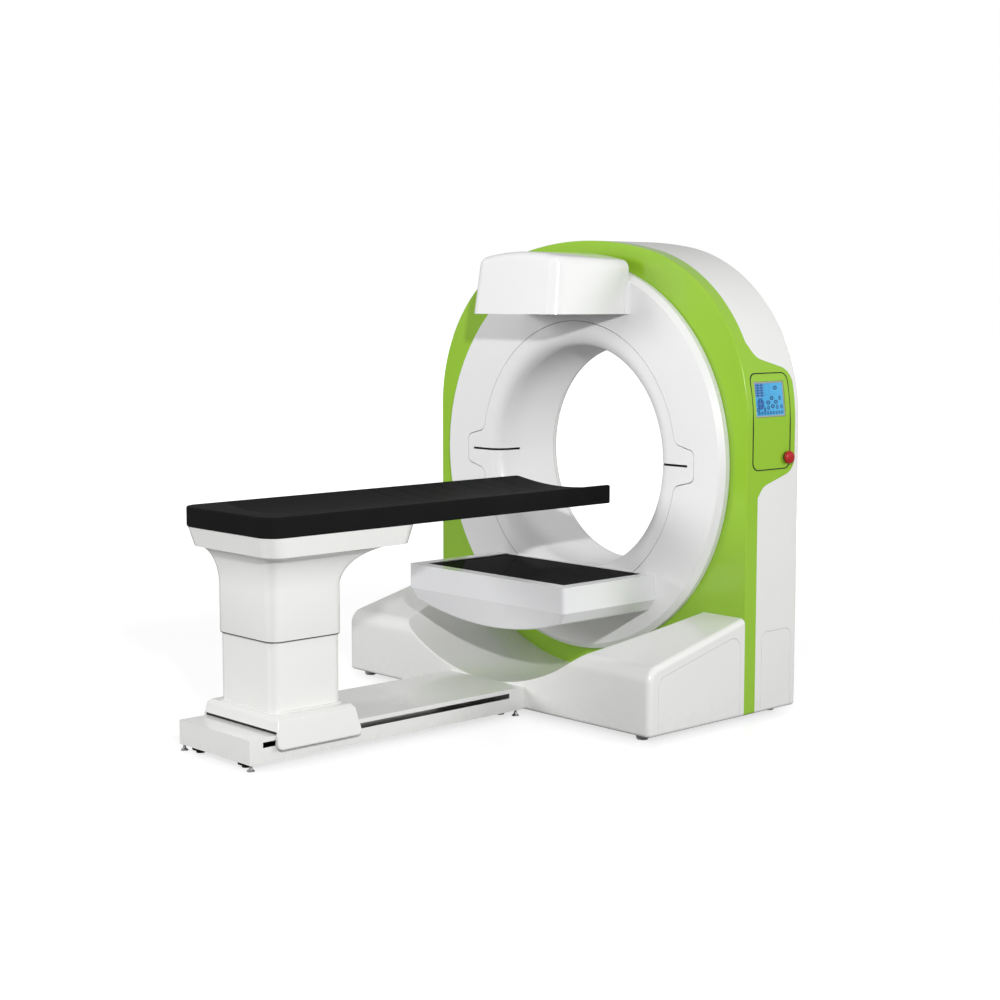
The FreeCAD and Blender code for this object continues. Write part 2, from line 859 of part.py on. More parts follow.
def foot_hatch(name, side, grow, depth):
    """The service hatch on each foot's flank, parallel to its slope; it runs off the lower edge."""
    y0 = -s.plinth_front + s.hatch_border - grow
    y1 = s.fascia_y - s.hatch_border / 2 + grow
    drop = s.hatch_border - grow
    z_front = s.foot_nose + slope * (y0 + s.plinth_front) - drop
    z_back = s.foot_nose + slope * (y1 + s.plinth_front) - drop
    out = s.overshoot if grow else 0
    start = s.gantry_half - depth if side > 0 else -s.gantry_half - out
    stop = s.gantry_half + out if side > 0 else -s.gantry_half + depth
    body = new_body(name)
    outline = draw(new_sketch(body, "YZ_Plane", start), [(y0, 0), (y1, 0), (y1, z_back), (y0, z_front)])
    block = pad(body, outline, stop - start)
    round_edges(body, block, s.hatch_round, lambda p, d: abs(d.x) > 0.99 and p.z > 150)
    return body


skirt_way = box("skirt_way", (-s.gantry_half + flange, -s.plinth_front + flange, 0),
                (s.gantry_half - flange, s.fascia_y + 1, s.floor_gap + s.skirt_round + 1))
shell_room = fuse("shell_room", wedge("plinth_inside", wall, s.floor_gap + s.skirt_round, False),
                  skirt_way)
hollow = cut("plinth_hollow", shell_room, cradle("cradle_under", wall))
plinth_block = wedge("plinth_block", 0, s.floor_gap, True)


def on_cradle(p):
    """Whether a point lies on the cradle's surface, ahead of the fascia."""
    radius = number(s.cradle_front + cradle_rate * (s.plinth_front + p.y))
    return near(math.hypot(p.x, p.z - s.axis_z.value), radius) and p.y < s.fascia_y.value - 1


plinth_form = soften("plinth_form", cut("plinth_way", plinth_block, cradle("cradle_way", 0)),
                     s.cradle_edge_round, lambda p, d: on_cradle(p))
plinth_tools = [hollow]
for tag, side in (("right", 1), ("left", -1)):
    plinth_tools.append(foot_hatch("foot_recess_" + tag, side, s.seam / 2, s.recess_depth))
    keep("foot_hatch_" + tag,
         common("foot_hatch_" + tag, foot_hatch("foot_plate_" + tag, side, 0, s.recess_depth),
                plinth_block))
keep("plinth_cover", cut("plinth_cover", plinth_form, *plinth_tools))

# ---------------------------------------------------------------- floor frame, anchor feet, gantry frame

beam_low = s.floor_gap
beam_high = s.floor_gap + s.floor_beam_tall
anchor_x = s.gantry_half - s.anchor_side
anchor_y = s.plinth_front - s.anchor_inset
beam_out = anchor_x + s.floor_beam_wide / 2
beam_in = anchor_x - s.floor_beam_wide / 2
beam_rear = s.cabinet_rear - flange
front_y = -s.plinth_front + wall + s.beam_setback
frame_y = s.bearing_front + s.bearing_wide
beams = []
for tag, side in (("right", 1), ("left", -1)):
    x0, x1 = (beam_in, beam_out) if side > 0 else (-beam_out, -beam_in)
    beams.append(box("side_beam_" + tag, (x0, front_y, beam_low), (x1, beam_rear, beam_high)))
for tag, y in (("front", front_y), ("middle", frame_y - 20), ("rear", beam_rear - s.floor_beam_wide)):
    beams.append(box("cross_beam_" + tag, (-beam_in - 1, y, beam_low),
                     (beam_in + 1, y + s.floor_beam_wide, beam_high)))
anchor_spots = [(sx * anchor_x, sy * anchor_y) for sx in (-1, 1) for sy in (-1, 1)]
beam_holes = []
feet = []
for i, (x, y) in enumerate(anchor_spots):
    beam_holes.append(rod("beam_hole_%d" % i, s.anchor_hole, s.floor_beam_tall + 2,
                          (x, y, beam_low - 1), "z"))
    foot = rod("foot_disc_%d" % i, s.foot_radius, s.floor_gap, (x, y, 0), "z")
    feet.append(cut("foot_%d" % i, foot,
                    rod("foot_hole_%d" % i, s.anchor_hole, s.floor_gap + 2, (x, y, -1), "z")))
keep("floor_frame", cut("floor_frame", fuse("beams", *beams), *beam_holes))
keep("anchor_feet", fuse("anchor_feet", *feet))

plate_back = frame_y + s.frame_plate
stand = [rod("frame_ring", s.frame_ring, s.frame_plate, (0, frame_y, s.axis_z))]
leg_outer = s.gantry_half - s.frame_leg_inset
pulley_x = s.gantry_half - s.pulley_inset
gusset_x = pulley_x + s.motor_flange + s.gusset_gap
for tag, side in (("right", 1), ("left", -1)):
    x0, x1 = s.frame_leg_inner, leg_outer
    if side < 0:
        x0, x1 = -leg_outer, -s.frame_leg_inner
    stand.append(box("frame_leg_" + tag, (x0, frame_y, beam_high), (x1, plate_back, s.axis_z)))
for tag, x in (("right", gusset_x), ("left", -gusset_x - s.frame_plate)):
    gusset = new_body("gusset_" + tag)
    corner = [(plate_back - 1, beam_high), (plate_back + s.gusset_deep, beam_high),
              (plate_back - 1, s.gusset_top)]
    pad(gusset, draw(new_sketch(gusset, "YZ_Plane", x), corner), s.frame_plate)
    stand.append(gusset)
shaft_hole = rod("shaft_hole", s.shaft_radius + 2, s.frame_plate + 2, (-pulley_x, frame_y - 1, s.pulley_z))
frame_bore = rod("frame_bore", s.race_outer - 18, s.frame_plate + 2, (0, frame_y - 1, s.axis_z))
keep("gantry_frame", cut("gantry_frame", fuse("stand", *stand), frame_bore, shaft_hole))

# ---------------------------------------------------------------- the rotor's bearing and drive

race_back = s.bearing_front + s.bearing_wide
keep("bearing_outer_race", tube("bearing_outer_race", s.race_outer, s.race_split + s.race_clearance,
                                s.bearing_front, race_back, s.axis_z))
keep("bearing_inner_race", tube("bearing_inner_race", s.race_split, s.drum_outer,
                                s.bearing_front, race_back, s.axis_z))
disc_back = s.disc_front + s.disc_thick
keep("rotor_disc", tube("rotor_disc", s.disc_outer, s.disc_inner, s.disc_front, disc_back, s.axis_z))
keep("rotor_drum",
     tube("rotor_drum", s.drum_outer, s.drum_outer - s.drum_wall, disc_back, s.drum_back, s.axis_z))
rim_front = s.drum_back - s.rim_wide
keep("drive_rim", tube("drive_rim", s.rim_outer, s.drum_outer, rim_front, s.drum_back, s.axis_z))

# the flat belt runs round the rim and the motor's pulley
belt_front = rim_front + (s.rim_wide - s.belt_wide) / 2
drop_z = s.pulley_z - s.axis_z


def belt_loop(name, grow, front, back):
    """The belt's loop as a solid slab, its outline a tangent pair of circles."""
    big = s.rim_outer.value + grow
    small = s.pulley_radius.value + grow
    x, z = -number(pulley_x), drop_z.value
    span = math.hypot(x, z)
    lead = math.atan2(z, x)
    wrap = math.acos((big - small) / span)
    ends = []
    for turn in (wrap, -wrap):
        way = Vector(math.cos(lead + turn), 0, math.sin(lead + turn))
        ends.append((way * big, Vector(x, 0, z) + way * small))
    far = Vector(-math.cos(lead), 0, -math.sin(lead)) * big
    near_end = Vector(x, 0, z) + Vector(math.cos(lead), 0, math.sin(lead)) * small
    edges = [Part.LineSegment(*ends[0]).toShape(), Part.Arc(ends[0][1], near_end, ends[1][1]).toShape(),
             Part.LineSegment(ends[1][1], ends[1][0]).toShape(),
             Part.Arc(ends[1][0], far, ends[0][0]).toShape()]
    slab = Part.Face(Part.Wire(edges)).extrude(Vector(0, back - front, 0))
    slab.translate(Vector(0, front, s.axis_z.value))
    return slab


belt = doc.addObject("Part::Feature", "drive_belt")
belt_back = belt_front + s.belt_wide
inside = belt_loop("inside", s.running_gap.value, belt_front.value - 1, belt_back.value + 1)
belt.Shape = belt_loop("outside", s.running_gap.value + s.belt_thick.value, belt_front.value,
                       belt_back.value).cut(inside)
keep("drive_belt", belt)

pulley_y = rim_front + (s.rim_wide - s.pulley_wide) / 2
shaft_long = pulley_y + s.pulley_wide - frame_y + s.shaft_end
pulley = fuse("motor_pulley",
              rod("pulley_wheel", s.pulley_radius, s.pulley_wide, (-pulley_x, pulley_y, s.pulley_z)),
              rod("pulley_shaft", s.shaft_radius, shaft_long,
                  (-pulley_x, frame_y - s.shaft_end, s.pulley_z)))
keep("motor_pulley", pulley)
motor_front = frame_y - s.motor_long
motor_can = rod("motor_can", s.motor_radius, s.motor_long, (-pulley_x, motor_front, s.pulley_z))
flange_y = frame_y - s.motor_flange_thick
motor_flange = box("motor_flange", (-pulley_x - s.motor_flange, flange_y, s.pulley_z - s.motor_radius),
                   (-pulley_x + s.motor_flange, frame_y, s.pulley_z + s.motor_radius))
motor_body = fuse("motor_body", motor_can, motor_flange)
motor_bore = rod("motor_bore", s.shaft_radius + s.shaft_fit, s.shaft_reach + 1,
                 (-pulley_x, frame_y - s.shaft_reach, s.pulley_z))
keep("drive_motor", cut("drive_motor", motor_body, motor_bore))

# ---------------------------------------------------------------- the ring and the bore liner

def lobes(name, grow, front, back):
    """Two tabs of the liner that reach into the ring at 3 and 9 o'clock, as blocks."""
    sides = []
    for tag, side in (("right", 1), ("left", -1)):
        body = new_body(name + "_" + tag)
        reach = s.lobe_reach + grow
        start = s.bore_front
        tip, mid, base = s.lobe_half_tip + grow, s.lobe_half_mid + grow, s.lobe_half_root + grow
        half = [(start, base), (s.seam_circle - 14, base), (s.seam_circle + 6 + grow / 2, mid),
                (reach, tip)]
        points = [(side * x, -z) for x, z in half] + [(side * x, z) for x, z in reversed(half)]
        outline = draw(new_sketch(body, "XZ_Plane", -front), points)
        block = pad(body, outline, back - front, reverse=True)
        round_edges(body, block, s.lobe_round,
                    lambda p, d: abs(d.y) > 0.99 and abs(p.x) > s.seam_circle.value)
        put(body, (0, 0, s.axis_z))
        sides.append(body)
    return fuse(name, *sides)


def ring_cover():
    """The ring's front shell: a flat face, a bevel and a rim that almost meets the fascia."""
    body = new_body("ring_shell")
    inner_r = s.seam_circle + s.seam
    face, rim = s.ring_front, s.ring_outer
    back = s.fascia_y - s.ring_to_fascia
    inside = s.ring_wall * 0.42
    rib = inner_r + s.ring_wall
    points = [(inner_r, face), (rim - s.ring_bevel, face), (rim, face + s.ring_bevel), (rim, back),
              (rim - s.ring_wall, back), (rim - s.ring_wall, face + s.ring_bevel + inside),
              (rim - s.ring_bevel - inside, face + s.ring_wall), (rib, face + s.ring_wall),
              (rib, s.disc_front), (inner_r, s.disc_front)]
    revolve(body, draw(new_sketch(body, "XY_Plane"), points))
    put(body, (0, 0, s.axis_z))
    return body


def liner(name, shift, wall_thick):
    """The bell mouth and the tunnel; shift moves the skin away from the bore."""
    body = new_body(name)
    face = s.ring_front
    back = s.liner_back
    r0, r1 = s.bore_front, s.bore_rear
    bell = s.bell_axial
    deep = shift + wall_thick
    points = [(r1 + shift, back), (r1 + deep, back), (r0 + deep, face + bell),
              (r0 + bell, face + deep), (s.seam_circle, face + deep), (s.seam_circle, face + shift),
              (r0 + bell, face + shift), (r0 + shift, face + bell)]
    arcs = {2: (bell - deep, -1), 6: (bell - shift, 1)}
    revolve(body, draw(new_sketch(body, "XY_Plane"), points, arcs))
    put(body, (0, 0, s.axis_z))
    return body


slits = []
for tag, side in (("right", 1), ("left", -1)):
    x0, x1 = s.bore_front - 40, s.slit_end
    if side < 0:
        x0, x1 = -s.slit_end, -s.bore_front + 40
    slits.append(box("slit_" + tag, (x0, s.ring_front - 10, s.axis_z - s.slit_tall / 2),
                     (x1, s.ring_front + s.slit_deep, s.axis_z + s.slit_tall / 2)))
slit_cut = fuse("slit_cut", *slits)
lobe_back = s.ring_front + s.liner_wall
lobe_plates = lobes("lobe_plates", 0, s.ring_front, lobe_back)
liner_hole = rod("liner_hole", s.seam_circle - 1, 3 * s.bell_axial, (0, s.ring_front - 10, s.axis_z))
lobe_tabs = cut("lobe_tabs", lobe_plates, liner_hole)
seat_rib = tube("seat_rib", s.seam_circle, s.seam_circle - s.liner_wall, s.ring_front + 1, s.disc_front,
                s.axis_z)
liner_skin = fuse("liner_skin", liner("liner_shell", 0, s.liner_wall), lobe_tabs, seat_rib)
keep("bore_liner", cut("bore_liner", liner_skin, slit_cut))
window_skin = fuse("window_skin", liner("window_shell", 2.0, 2.9),
                   box("window_tab_right", (s.seam_circle - 2, s.ring_front + 2, s.axis_z - 40),
                       (s.slit_end + 20, s.ring_front + 4.9, s.axis_z + 40)),
                   box("window_tab_left", (-s.slit_end - 20, s.ring_front + 2, s.axis_z - 40),
                       (-s.seam_circle + 2, s.ring_front + 4.9, s.axis_z + 40)))
keep("laser_windows", common("laser_windows", window_skin, slit_cut))

slack = s.arm_clear
arm_z = s.axis_z + s.head_arm_z
tray_arm_z = s.axis_z - s.tray_depth + s.tray_arm_rise
arm_window = box("head_arm_window",
                 (-s.head_arm_half - slack, s.ring_front - 5, arm_z - s.head_arm_drop - slack),
                 (s.head_arm_half + slack, s.disc_front, arm_z + s.head_arm_rise + slack))
tray_window = box("tray_arm_window", (-s.tray_arm_half - slack, s.ring_front - 5, tray_arm_z - slack),
                  (s.tray_arm_half + slack, s.disc_front, tray_arm_z + s.tray_arm_thick + slack))
lobe_clear = lobes("lobe_clear", s.seam, s.ring_front - 5, s.ring_front + s.ring_wall + 2)
rib_clear = lobes("rib_clear", s.seam, s.ring_front - 5, s.disc_front)
keep("ring_cover", cut("ring_cover", ring_cover(), lobe_clear, rib_clear, arm_window, tray_window))

# ---------------------------------------------------------------- the X-ray head

def head_block(name, inset):
    """The head: its flanks draw in forwards, its front leans back, and its top is crowned."""
    body = new_body(name + "_block")
    front = s.ring_front - s.head_reach + inset
    plans = []
    levels = ((s.head_low + inset, s.head_rear_half, s.head_front_half, front),
              (s.head_high + 3 * s.overshoot, s.head_rear_half + s.head_taper,
               s.head_front_half - s.head_draw, front + s.head_lean))
    for z, rear_half, front_half, y in levels:
        sketch = new_sketch(body, "XY_Plane", z)
        plans.append(draw(sketch, [(inset - rear_half, s.ring_front), (inset - front_half, y),
                                   (front_half - inset, y), (rear_half - inset, s.ring_front)]))
    loft(body, *plans)
    put(body, (0, 0, s.axis_z))
    crown = rod(name + "_crown", s.head_crown - inset, s.head_reach + 2 * s.overshoot,
                (0, front - s.overshoot, s.axis_z + s.head_high - s.head_crown))
    block = common(name + "_domed", body, crown)
    behind = s.ring_front.value - 8
    corners = soften(name + "_corners", block, s.head_corner - inset,
                     lambda p, d: abs(d.z) > 0.9 and p.y < behind)
    top_z = s.axis_z.value + s.head_high.value - 2 * s.head_edge.value
    return soften(name, corners, s.head_edge - inset,
                  lambda p, d: abs(d.z) < 0.9 and p.y < behind and p.z > top_z)


def head_skirts():
    """The coves that spread each flank of the head on to the ring's face."""
    sides = []
    flare = s.head_flare
    y0, y1 = s.ring_front - flare, s.ring_front
    for tag, side in (("right", 1), ("left", -1)):
        body = new_body("head_skirt_" + tag)
        plans = []
        for z, half in ((s.head_low, s.head_rear_half),
                        (s.head_high + 3 * s.overshoot, s.head_rear_half + s.head_taper)):
            points = [(half, y0), (half + flare, y1), (half - flare, y1), (half - flare, y0)]
            if side < 0:
                points = [(-x, y) for x, y in (points[1], points[0], points[3], points[2])]
            plans.append(draw(new_sketch(body, "XY_Plane", z), points, {0: (flare, 1)}))
        loft(body, *plans)
        put(body, (0, 0, s.axis_z))
        sides.append(body)
    reach = rod("skirt_reach", s.ring_outer - s.ring_bevel, 2 * flare, (0, y0 - flare / 2, s.axis_z))
    return common("head_skirts", fuse("skirt_pair", *sides), reach)


head_void = head_block("head_void", s.head_wall)
beam_hole = box("beam_hole", (-s.beam_half, s.ring_front - s.beam_far, s.axis_z + s.head_low - 5),
                (s.beam_half, s.ring_front - s.beam_near, s.axis_z + s.head_low + 2 * s.head_wall))
head_shell = fuse("head_shell", head_block("head_solid", 0), head_skirts())
keep("head_cover", cut("head_cover", head_shell, head_void, beam_hole))
fit = s.beam_clear
window_low = s.axis_z + s.head_low + 1
window_high = s.axis_z + s.head_low + s.head_wall
keep("beam_window", box("beam_window", (fit - s.beam_half, s.ring_front - s.beam_far + fit, window_low),
                        (s.beam_half - fit, s.ring_front - s.beam_near - fit, window_high)))
head_front = s.ring_front - s.head_reach
arm_flat = box("arm_flat", (-s.head_arm_half, head_front + s.head_arm_setback, arm_z),
               (s.head_arm_half, s.disc_front, arm_z + s.head_arm_thick))
arm_foot = box("arm_foot", (-s.head_arm_half, s.disc_front - s.head_arm_thick, arm_z - s.head_arm_drop),
               (s.head_arm_half, s.disc_front, arm_z + s.head_arm_rise))
keep("head_arm", fuse("head_arm", arm_flat, arm_foot))
tube_z = arm_z + s.head_arm_thick + s.tube_radius
tube_y = s.ring_front - s.tube_setback
keep("xray_tube", fuse("xray_tube", rod("tube_can", s.tube_radius, s.tube_long,
                                        (-s.tube_long / 2, tube_y, tube_z), "x"),
                       rod("tube_neck", s.tube_radius * 0.6, s.tube_long + 2 * s.tube_neck,
                           (-s.tube_long / 2 - s.tube_neck, tube_y, tube_z), "x")))
inset = s.collimator_inset
keep("collimator", box("collimator", (inset - s.beam_half, s.ring_front - s.beam_far + inset,
                                      s.axis_z + s.head_low + s.head_wall),
                       (s.beam_half - inset, s.ring_front - s.beam_near - inset, arm_z)))

# ---------------------------------------------------------------- the detector tray

def tray_box(name, inset, top):
    """The tray's upright-sided upper part."""
    body = new_body(name)
    z0 = -s.tray_top - s.tray_side + inset
    front = -s.tray_front + inset
    half = s.tray_half - inset
    outline = draw(new_sketch(body, "XY_Plane", z0), [(-half, front), (half, front), (half, s.ring_front),
                                                      (-half, s.ring_front)])
    block = pad(body, outline, top - z0)
    y_clear = s.ring_front.value - 5
    round_edges(body, block, s.tray_corner - inset * 0.6,
                lambda p, d: (abs(d.z) > 0.99 and p.y < y_clear))
    put(body, (0, 0, s.axis_z))
    return body


def tray_belly(name, inset, top):
    """The tray's underside: flanks and front that draw in downwards, cut off by a shallow barrel."""
    tapered = new_body(name + "_taper")
    corner = s.tray_corner - inset * 0.6
    back = s.ring_front
    plans = []
    for z, flank_draw, front_draw in ((-s.tray_depth, s.tray_flank_draw, s.tray_front_draw), (top, 0, 0)):
        half = s.tray_half - inset - flank_draw
        front = -s.tray_front + inset + front_draw
        points = [(-half + corner, front), (half - corner, front), (half, front + corner), (half, back),
                  (-half, back), (-half, front + corner)]
        plans.append(draw(new_sketch(tapered, "XY_Plane", z), points, {1: (corner, -1), 5: (corner, -1)}))
    loft(tapered, *plans)
    put(tapered, (0, 0, s.axis_z))
    barrel = new_body(name + "_barrel")
    half = s.tray_half
    radius = s.tray_belly - inset
    centre_z = -s.tray_depth + s.tray_belly
    corner_z = centre_z - root(radius * radius - half * half)
    outline = draw(new_sketch(barrel, "XZ_Plane", s.tray_front),
                   [(half, top), (-half, top), (-half, corner_z), (half, corner_z)], {2: (radius, -1)})
    pad(barrel, outline, s.ring_front + s.tray_front, reverse=True)
    put(barrel, (0, 0, s.axis_z))
    return common(name, tapered, barrel)


def on_belly(p):
    """True for the middle of an edge where the tray's flanks or front meet the barrel."""
    centre_z = number(s.axis_z - s.tray_depth + s.tray_belly)
    return near(math.hypot(p.x, p.z - centre_z), s.tray_belly) and p.y < number(s.ring_front) - 1


tray_sill = -s.tray_top - s.tray_side
tray_solid = fuse("tray_solid", tray_box("tray_upper", 0, -s.tray_top),
                  soften("tray_lower", tray_belly("tray_underside", 0, tray_sill), s.tray_edge,
                         lambda p, d: on_belly(p)))
glass_top = -s.tray_top - s.glass_recess
glass_low = glass_top - s.glass_thick
tray_hollow = fuse("tray_hollow", tray_box("tray_room", s.tray_wall, glass_low - 6),
                   tray_belly("tray_well", s.tray_wall, tray_sill + s.tray_wall + 1))
glass_half = s.tray_half - s.tray_rim
glass_front = -s.tray_front + s.tray_rim
glass_back = s.ring_front - 4
glass_seat = box("glass_seat", (-glass_half - 0.3, glass_front - 0.3, s.axis_z + glass_low),
                 (glass_half + 0.3, glass_back + 0.3, s.axis_z - s.tray_top + 5))
glass_light = box("glass_light", (-glass_half + 25, glass_front + 25, s.axis_z + glass_low - 10),
                  (glass_half - 25, glass_back - 25, s.axis_z - s.tray_top))
keep("tray_shell", cut("tray_shell", tray_solid, tray_hollow, glass_seat, glass_light))
keep("detector_glass", box("detector_glass", (-glass_half, glass_front, s.axis_z + glass_low),
                           (glass_half, glass_back, s.axis_z + glass_top)))
detector_high = s.axis_z + glass_low - s.detector_drop
detector_low = detector_high - s.detector_thick
detector_y = -s.tray_front + s.detector_setback
tray_arm_high = tray_arm_z + s.tray_arm_thick
tray_bar = box("tray_bar", (-s.tray_arm_half, -s.tray_front + s.tray_arm_setback, tray_arm_z),
               (s.tray_arm_half, s.disc_front, tray_arm_high))
tray_post = box("tray_post", (-s.tray_post_half, -s.tray_front + s.tray_post_near, tray_arm_high),
                (s.tray_post_half, -s.tray_front + s.tray_post_far, detector_low))
keep("tray_arm", fuse("tray_arm", tray_bar, tray_post))
keep("flat_detector", box("flat_detector", (-s.detector_half, detector_y, detector_low),
                          (s.detector_half, detector_y + 2 * s.detector_half, detector_high)))

weights = []
for tag, side in (("right", 1), ("left", -1)):
    ring = tube("weight_ring_" + tag, s.disc_outer - s.weight_outer_gap, s.disc_inner + s.weight_inner_gap,
                disc_back, disc_back + s.weight_thick, s.axis_z)
    middle = s.weight_x * side
    sector = box("weight_sector_" + tag, (middle - s.weight_half, disc_back - 5, s.axis_z),
                 (middle + s.weight_half, disc_back + s.weight_thick + 5, s.axis_z + s.disc_outer))
    weights.append(common("weight_" + tag, ring, sector))
keep("balance_weights", fuse("balance_weights", *weights))

# ---------------------------------------------------------------- the couch rail

rail_far = s.plinth_front
rail_body = box("rail_block", (-s.rail_half, -s.rail_near, s.rail_low),
                (s.rail_half, -rail_far, s.rail_high))
rail_room = box("rail_room",
                (-s.rail_half + s.rail_wall, -s.rail_near + s.rail_wall, s.rail_low + s.rail_wall),
                (s.rail_half - s.rail_wall, -rail_far - s.rail_wall, s.rail_high - s.rail_wall))
slot = box("rail_slot", (-s.rail_half - 5, -s.slot_near, s.slot_low),
           (s.rail_half + 5, -s.slot_far, s.slot_high))
keep("couch_rail", cut("couch_rail", rail_body, rail_room, slot))

guide_low = s.rail_low + s.rail_wall
guide_high = guide_low + s.guide_tall
guides = []
for tag, side in (("right", 1), ("left", -1)):
    x = side * s.guide_x
    guides.append(box("guide_" + tag, (x - s.guide_wide / 2, -s.rail_near + s.guide_inset, guide_low),
                      (x + s.guide_wide / 2, -rail_far - s.guide_inset, guide_high)))
keep("guide_rails", fuse("guide_rails", *guides))

screw_feet = []
pads = []
for i, (sx, sy) in enumerate([(-1, 0), (1, 0), (-1, 1), (1, 1)]):
    y_screw = -rail_far - s.screw_foot_far if sy else -s.rail_near + s.screw_foot_inset
    y_pad = -rail_far - s.pad_far if sy else -s.rail_near + s.pad_inset
    x_screw = sx * (s.rail_half - s.screw_foot_inset)
    spot = (x_screw, y_screw, 0)
    screw_feet.append(cone("screw_foot_%d" % i, s.screw_foot_radius, s.screw_foot_radius / 2,
                           s.rail_low / 2, spot, "z"))
    screw_feet.append(rod("screw_stem_%d" % i, s.screw_foot_radius / 3, s.rail_low, spot, "z"))
    pads.append(rod("pad_%d" % i, s.pad_radius, s.rail_low, (sx * s.pad_x, y_pad, 0), "z"))
keep("screw_feet", fuse("screw_feet", *screw_feet))
keep("rail_pads", fuse("rail_pads", *pads))

# ---------------------------------------------------------------- the carriage

mid_y = -s.carriage_y
gap = s.running_gap
plate_high = s.plate_low + s.plate_thick
saddle_in = s.rail_half + s.saddle_side_gap
keep("carriage_plate", box("carriage_plate", (-saddle_in, mid_y - s.plate_half, s.plate_low),
                           (saddle_in, mid_y + s.plate_half, plate_high)))
blocks = []
grooves = []
for tag, side in (("right", 1), ("left", -1)):
    x = side * s.guide_x
    for end, way in (("near", -1), ("far", 1)):
        y = mid_y + way * s.block_spread
        low = (x - s.block_half_wide, y - s.block_half_long, guide_low + s.block_rise)
        high = (x + s.block_half_wide, y + s.block_half_long, s.plate_low)
        blocks.append(box("block_%s_%s" % (tag, end), low, high))
    grooves.append(box("block_groove_" + tag, (x - s.guide_wide / 2 - gap, mid_y - 200, guide_low - 5),
                       (x + s.guide_wide / 2 + gap, mid_y + 200, guide_high + gap)))
keep("guide_blocks", cut("guide_blocks", fuse("block_set", *blocks), *grooves))
keep("rail_brake", box("rail_brake", (s.guide_x - s.guide_wide / 2, mid_y - 30, guide_high + gap),
                       (s.guide_x + s.guide_wide / 2, mid_y + 30, s.plate_low)))


def saddle():
    """The saddle cover: sloping on all four sides, and astride the rail."""
    body = new_body("saddle_block")
    levels = ((s.saddle_low, s.saddle_half_low, s.saddle_long_low),
              (s.saddle_bend, s.saddle_half_bend, s.saddle_long_bend),
              (s.saddle_top, s.saddle_half_top, s.saddle_long_top))
    plans = []
    for z, half, long in levels:
        plans.append(rounded(new_sketch(body, "XY_Plane", z), -half, half, -long, long, s.saddle_round))
    loft(body, *plans)
    put(body, (0, mid_y, 0))
    return body


saddle_reach = s.saddle_long_low + s.overshoot
saddle_way = box("saddle_way", (-saddle_in, mid_y - saddle_reach, 0),
                 (saddle_in, mid_y + saddle_reach, s.rail_high + s.saddle_rail_gap))
keep("saddle_cover", cut("saddle_cover", saddle(), saddle_way))


def upright(name, half_x, half_y, radius, low, high):
    """A rounded rectangular post on the column's centre line."""
    body = new_body(name)
    outline = rounded(new_sketch(body, "XY_Plane", low), -half_x, half_x, -half_y, half_y, radius)
    pad(body, outline, high - low)
    put(body, (0, mid_y, 0))
    return body


slack = s.sleeve_wall + s.sleeve_clearance
column_x, column_y = s.sleeve_half_x - slack, s.sleeve_half_y - slack
column_r = s.sleeve_round - slack
column = upright("column_post", column_x, column_y, column_r, s.saddle_top, s.column_top)
column_room = upright("column_room", column_x - s.column_wall, column_y - s.column_wall,
                      column_r - s.column_wall, s.saddle_top - 1, s.column_top + 1)
keep("lower_column", cut("lower_column", column, column_room))
lift_low = s.saddle_top
lift_top = s.column_top - s.lift_head_room
lift_can = rod("lift_can", s.lift_tube_radius, lift_top - lift_low, (0, mid_y, lift_low), "z")
lift_bore = rod("lift_bore", s.lift_rod_radius + s.lift_fit, lift_top - lift_low,
                (0, mid_y, lift_low + s.lift_floor), "z")
keep("lift_cylinder", cut("lift_cylinder", lift_can, lift_bore))

# ---------------------------------------------------------------- the sleeve with its flare, and the tub

def flared_sleeve():
    """The upper sleeve: straight sides that flare out in elliptical curves to the tub's edge."""
    body = new_body("sleeve_block")
    x, y, radius = s.sleeve_half_x, s.sleeve_half_y, s.sleeve_round
    outline = rounded(new_sketch(body, "XY_Plane", s.sleeve_low), -x, x, -y, y, radius)
    pad(body, outline, s.flare_start - s.sleeve_low)
    rise = s.tub_low - s.flare_start
    side = s.tub_half - s.tub_draft - s.flare_inset - x
    near_end = s.tub_near - s.tub_end_draft - s.flare_inset - s.carriage_y - y
    far_end = s.carriage_y - s.tub_far - s.tub_end_draft - s.flare_inset - y
    steps = 7
    plans = []
    for i in range(steps + 1):
        angle = math.radians(90 * i / steps)
        out = 1 - math.cos(angle)
        sketch = new_sketch(body, "XY_Plane", s.flare_start + rise * math.sin(angle))
        corner = radius + (s.tub_round - radius - s.flare_inset) * out
        plans.append(rounded(sketch, -x - side * out, x + side * out, -y - near_end * out,
                             y + far_end * out, corner))
    loft(body, *plans)
    put(body, (0, mid_y, 0))
    return body


sleeve_x, sleeve_y = s.sleeve_half_x - s.sleeve_wall, s.sleeve_half_y - s.sleeve_wall
sleeve_room = upright("sleeve_room", sleeve_x, sleeve_y, s.sleeve_round - s.sleeve_wall,
                      s.sleeve_low - 1, s.tub_low - s.sleeve_wall)
keep("flared_sleeve", cut("flared_sleeve", flared_sleeve(), sleeve_room))
rod_low = lift_low + s.lift_floor + s.lift_below
keep("lift_rod",
     rod("lift_rod", s.lift_rod_radius, s.tub_low - s.sleeve_wall - rod_low, (0, mid_y, rod_low), "z"))


def tub(name, inset, low, high):
    """The white frame under the top, a little narrower at the bottom."""
    body = new_body(name)
    plans = []
    for z, draft, end_draft in ((low, s.tub_draft, s.tub_end_draft), (high, 0, 0)):
        half = s.tub_half - draft - inset
        y0 = -s.tub_near + end_draft + inset
        y1 = -s.tub_far - end_draft - inset
        plans.append(rounded(new_sketch(body, "XY_Plane", z), -half, half, y0, y1, s.tub_round - inset))
    loft(body, *plans)
    return body


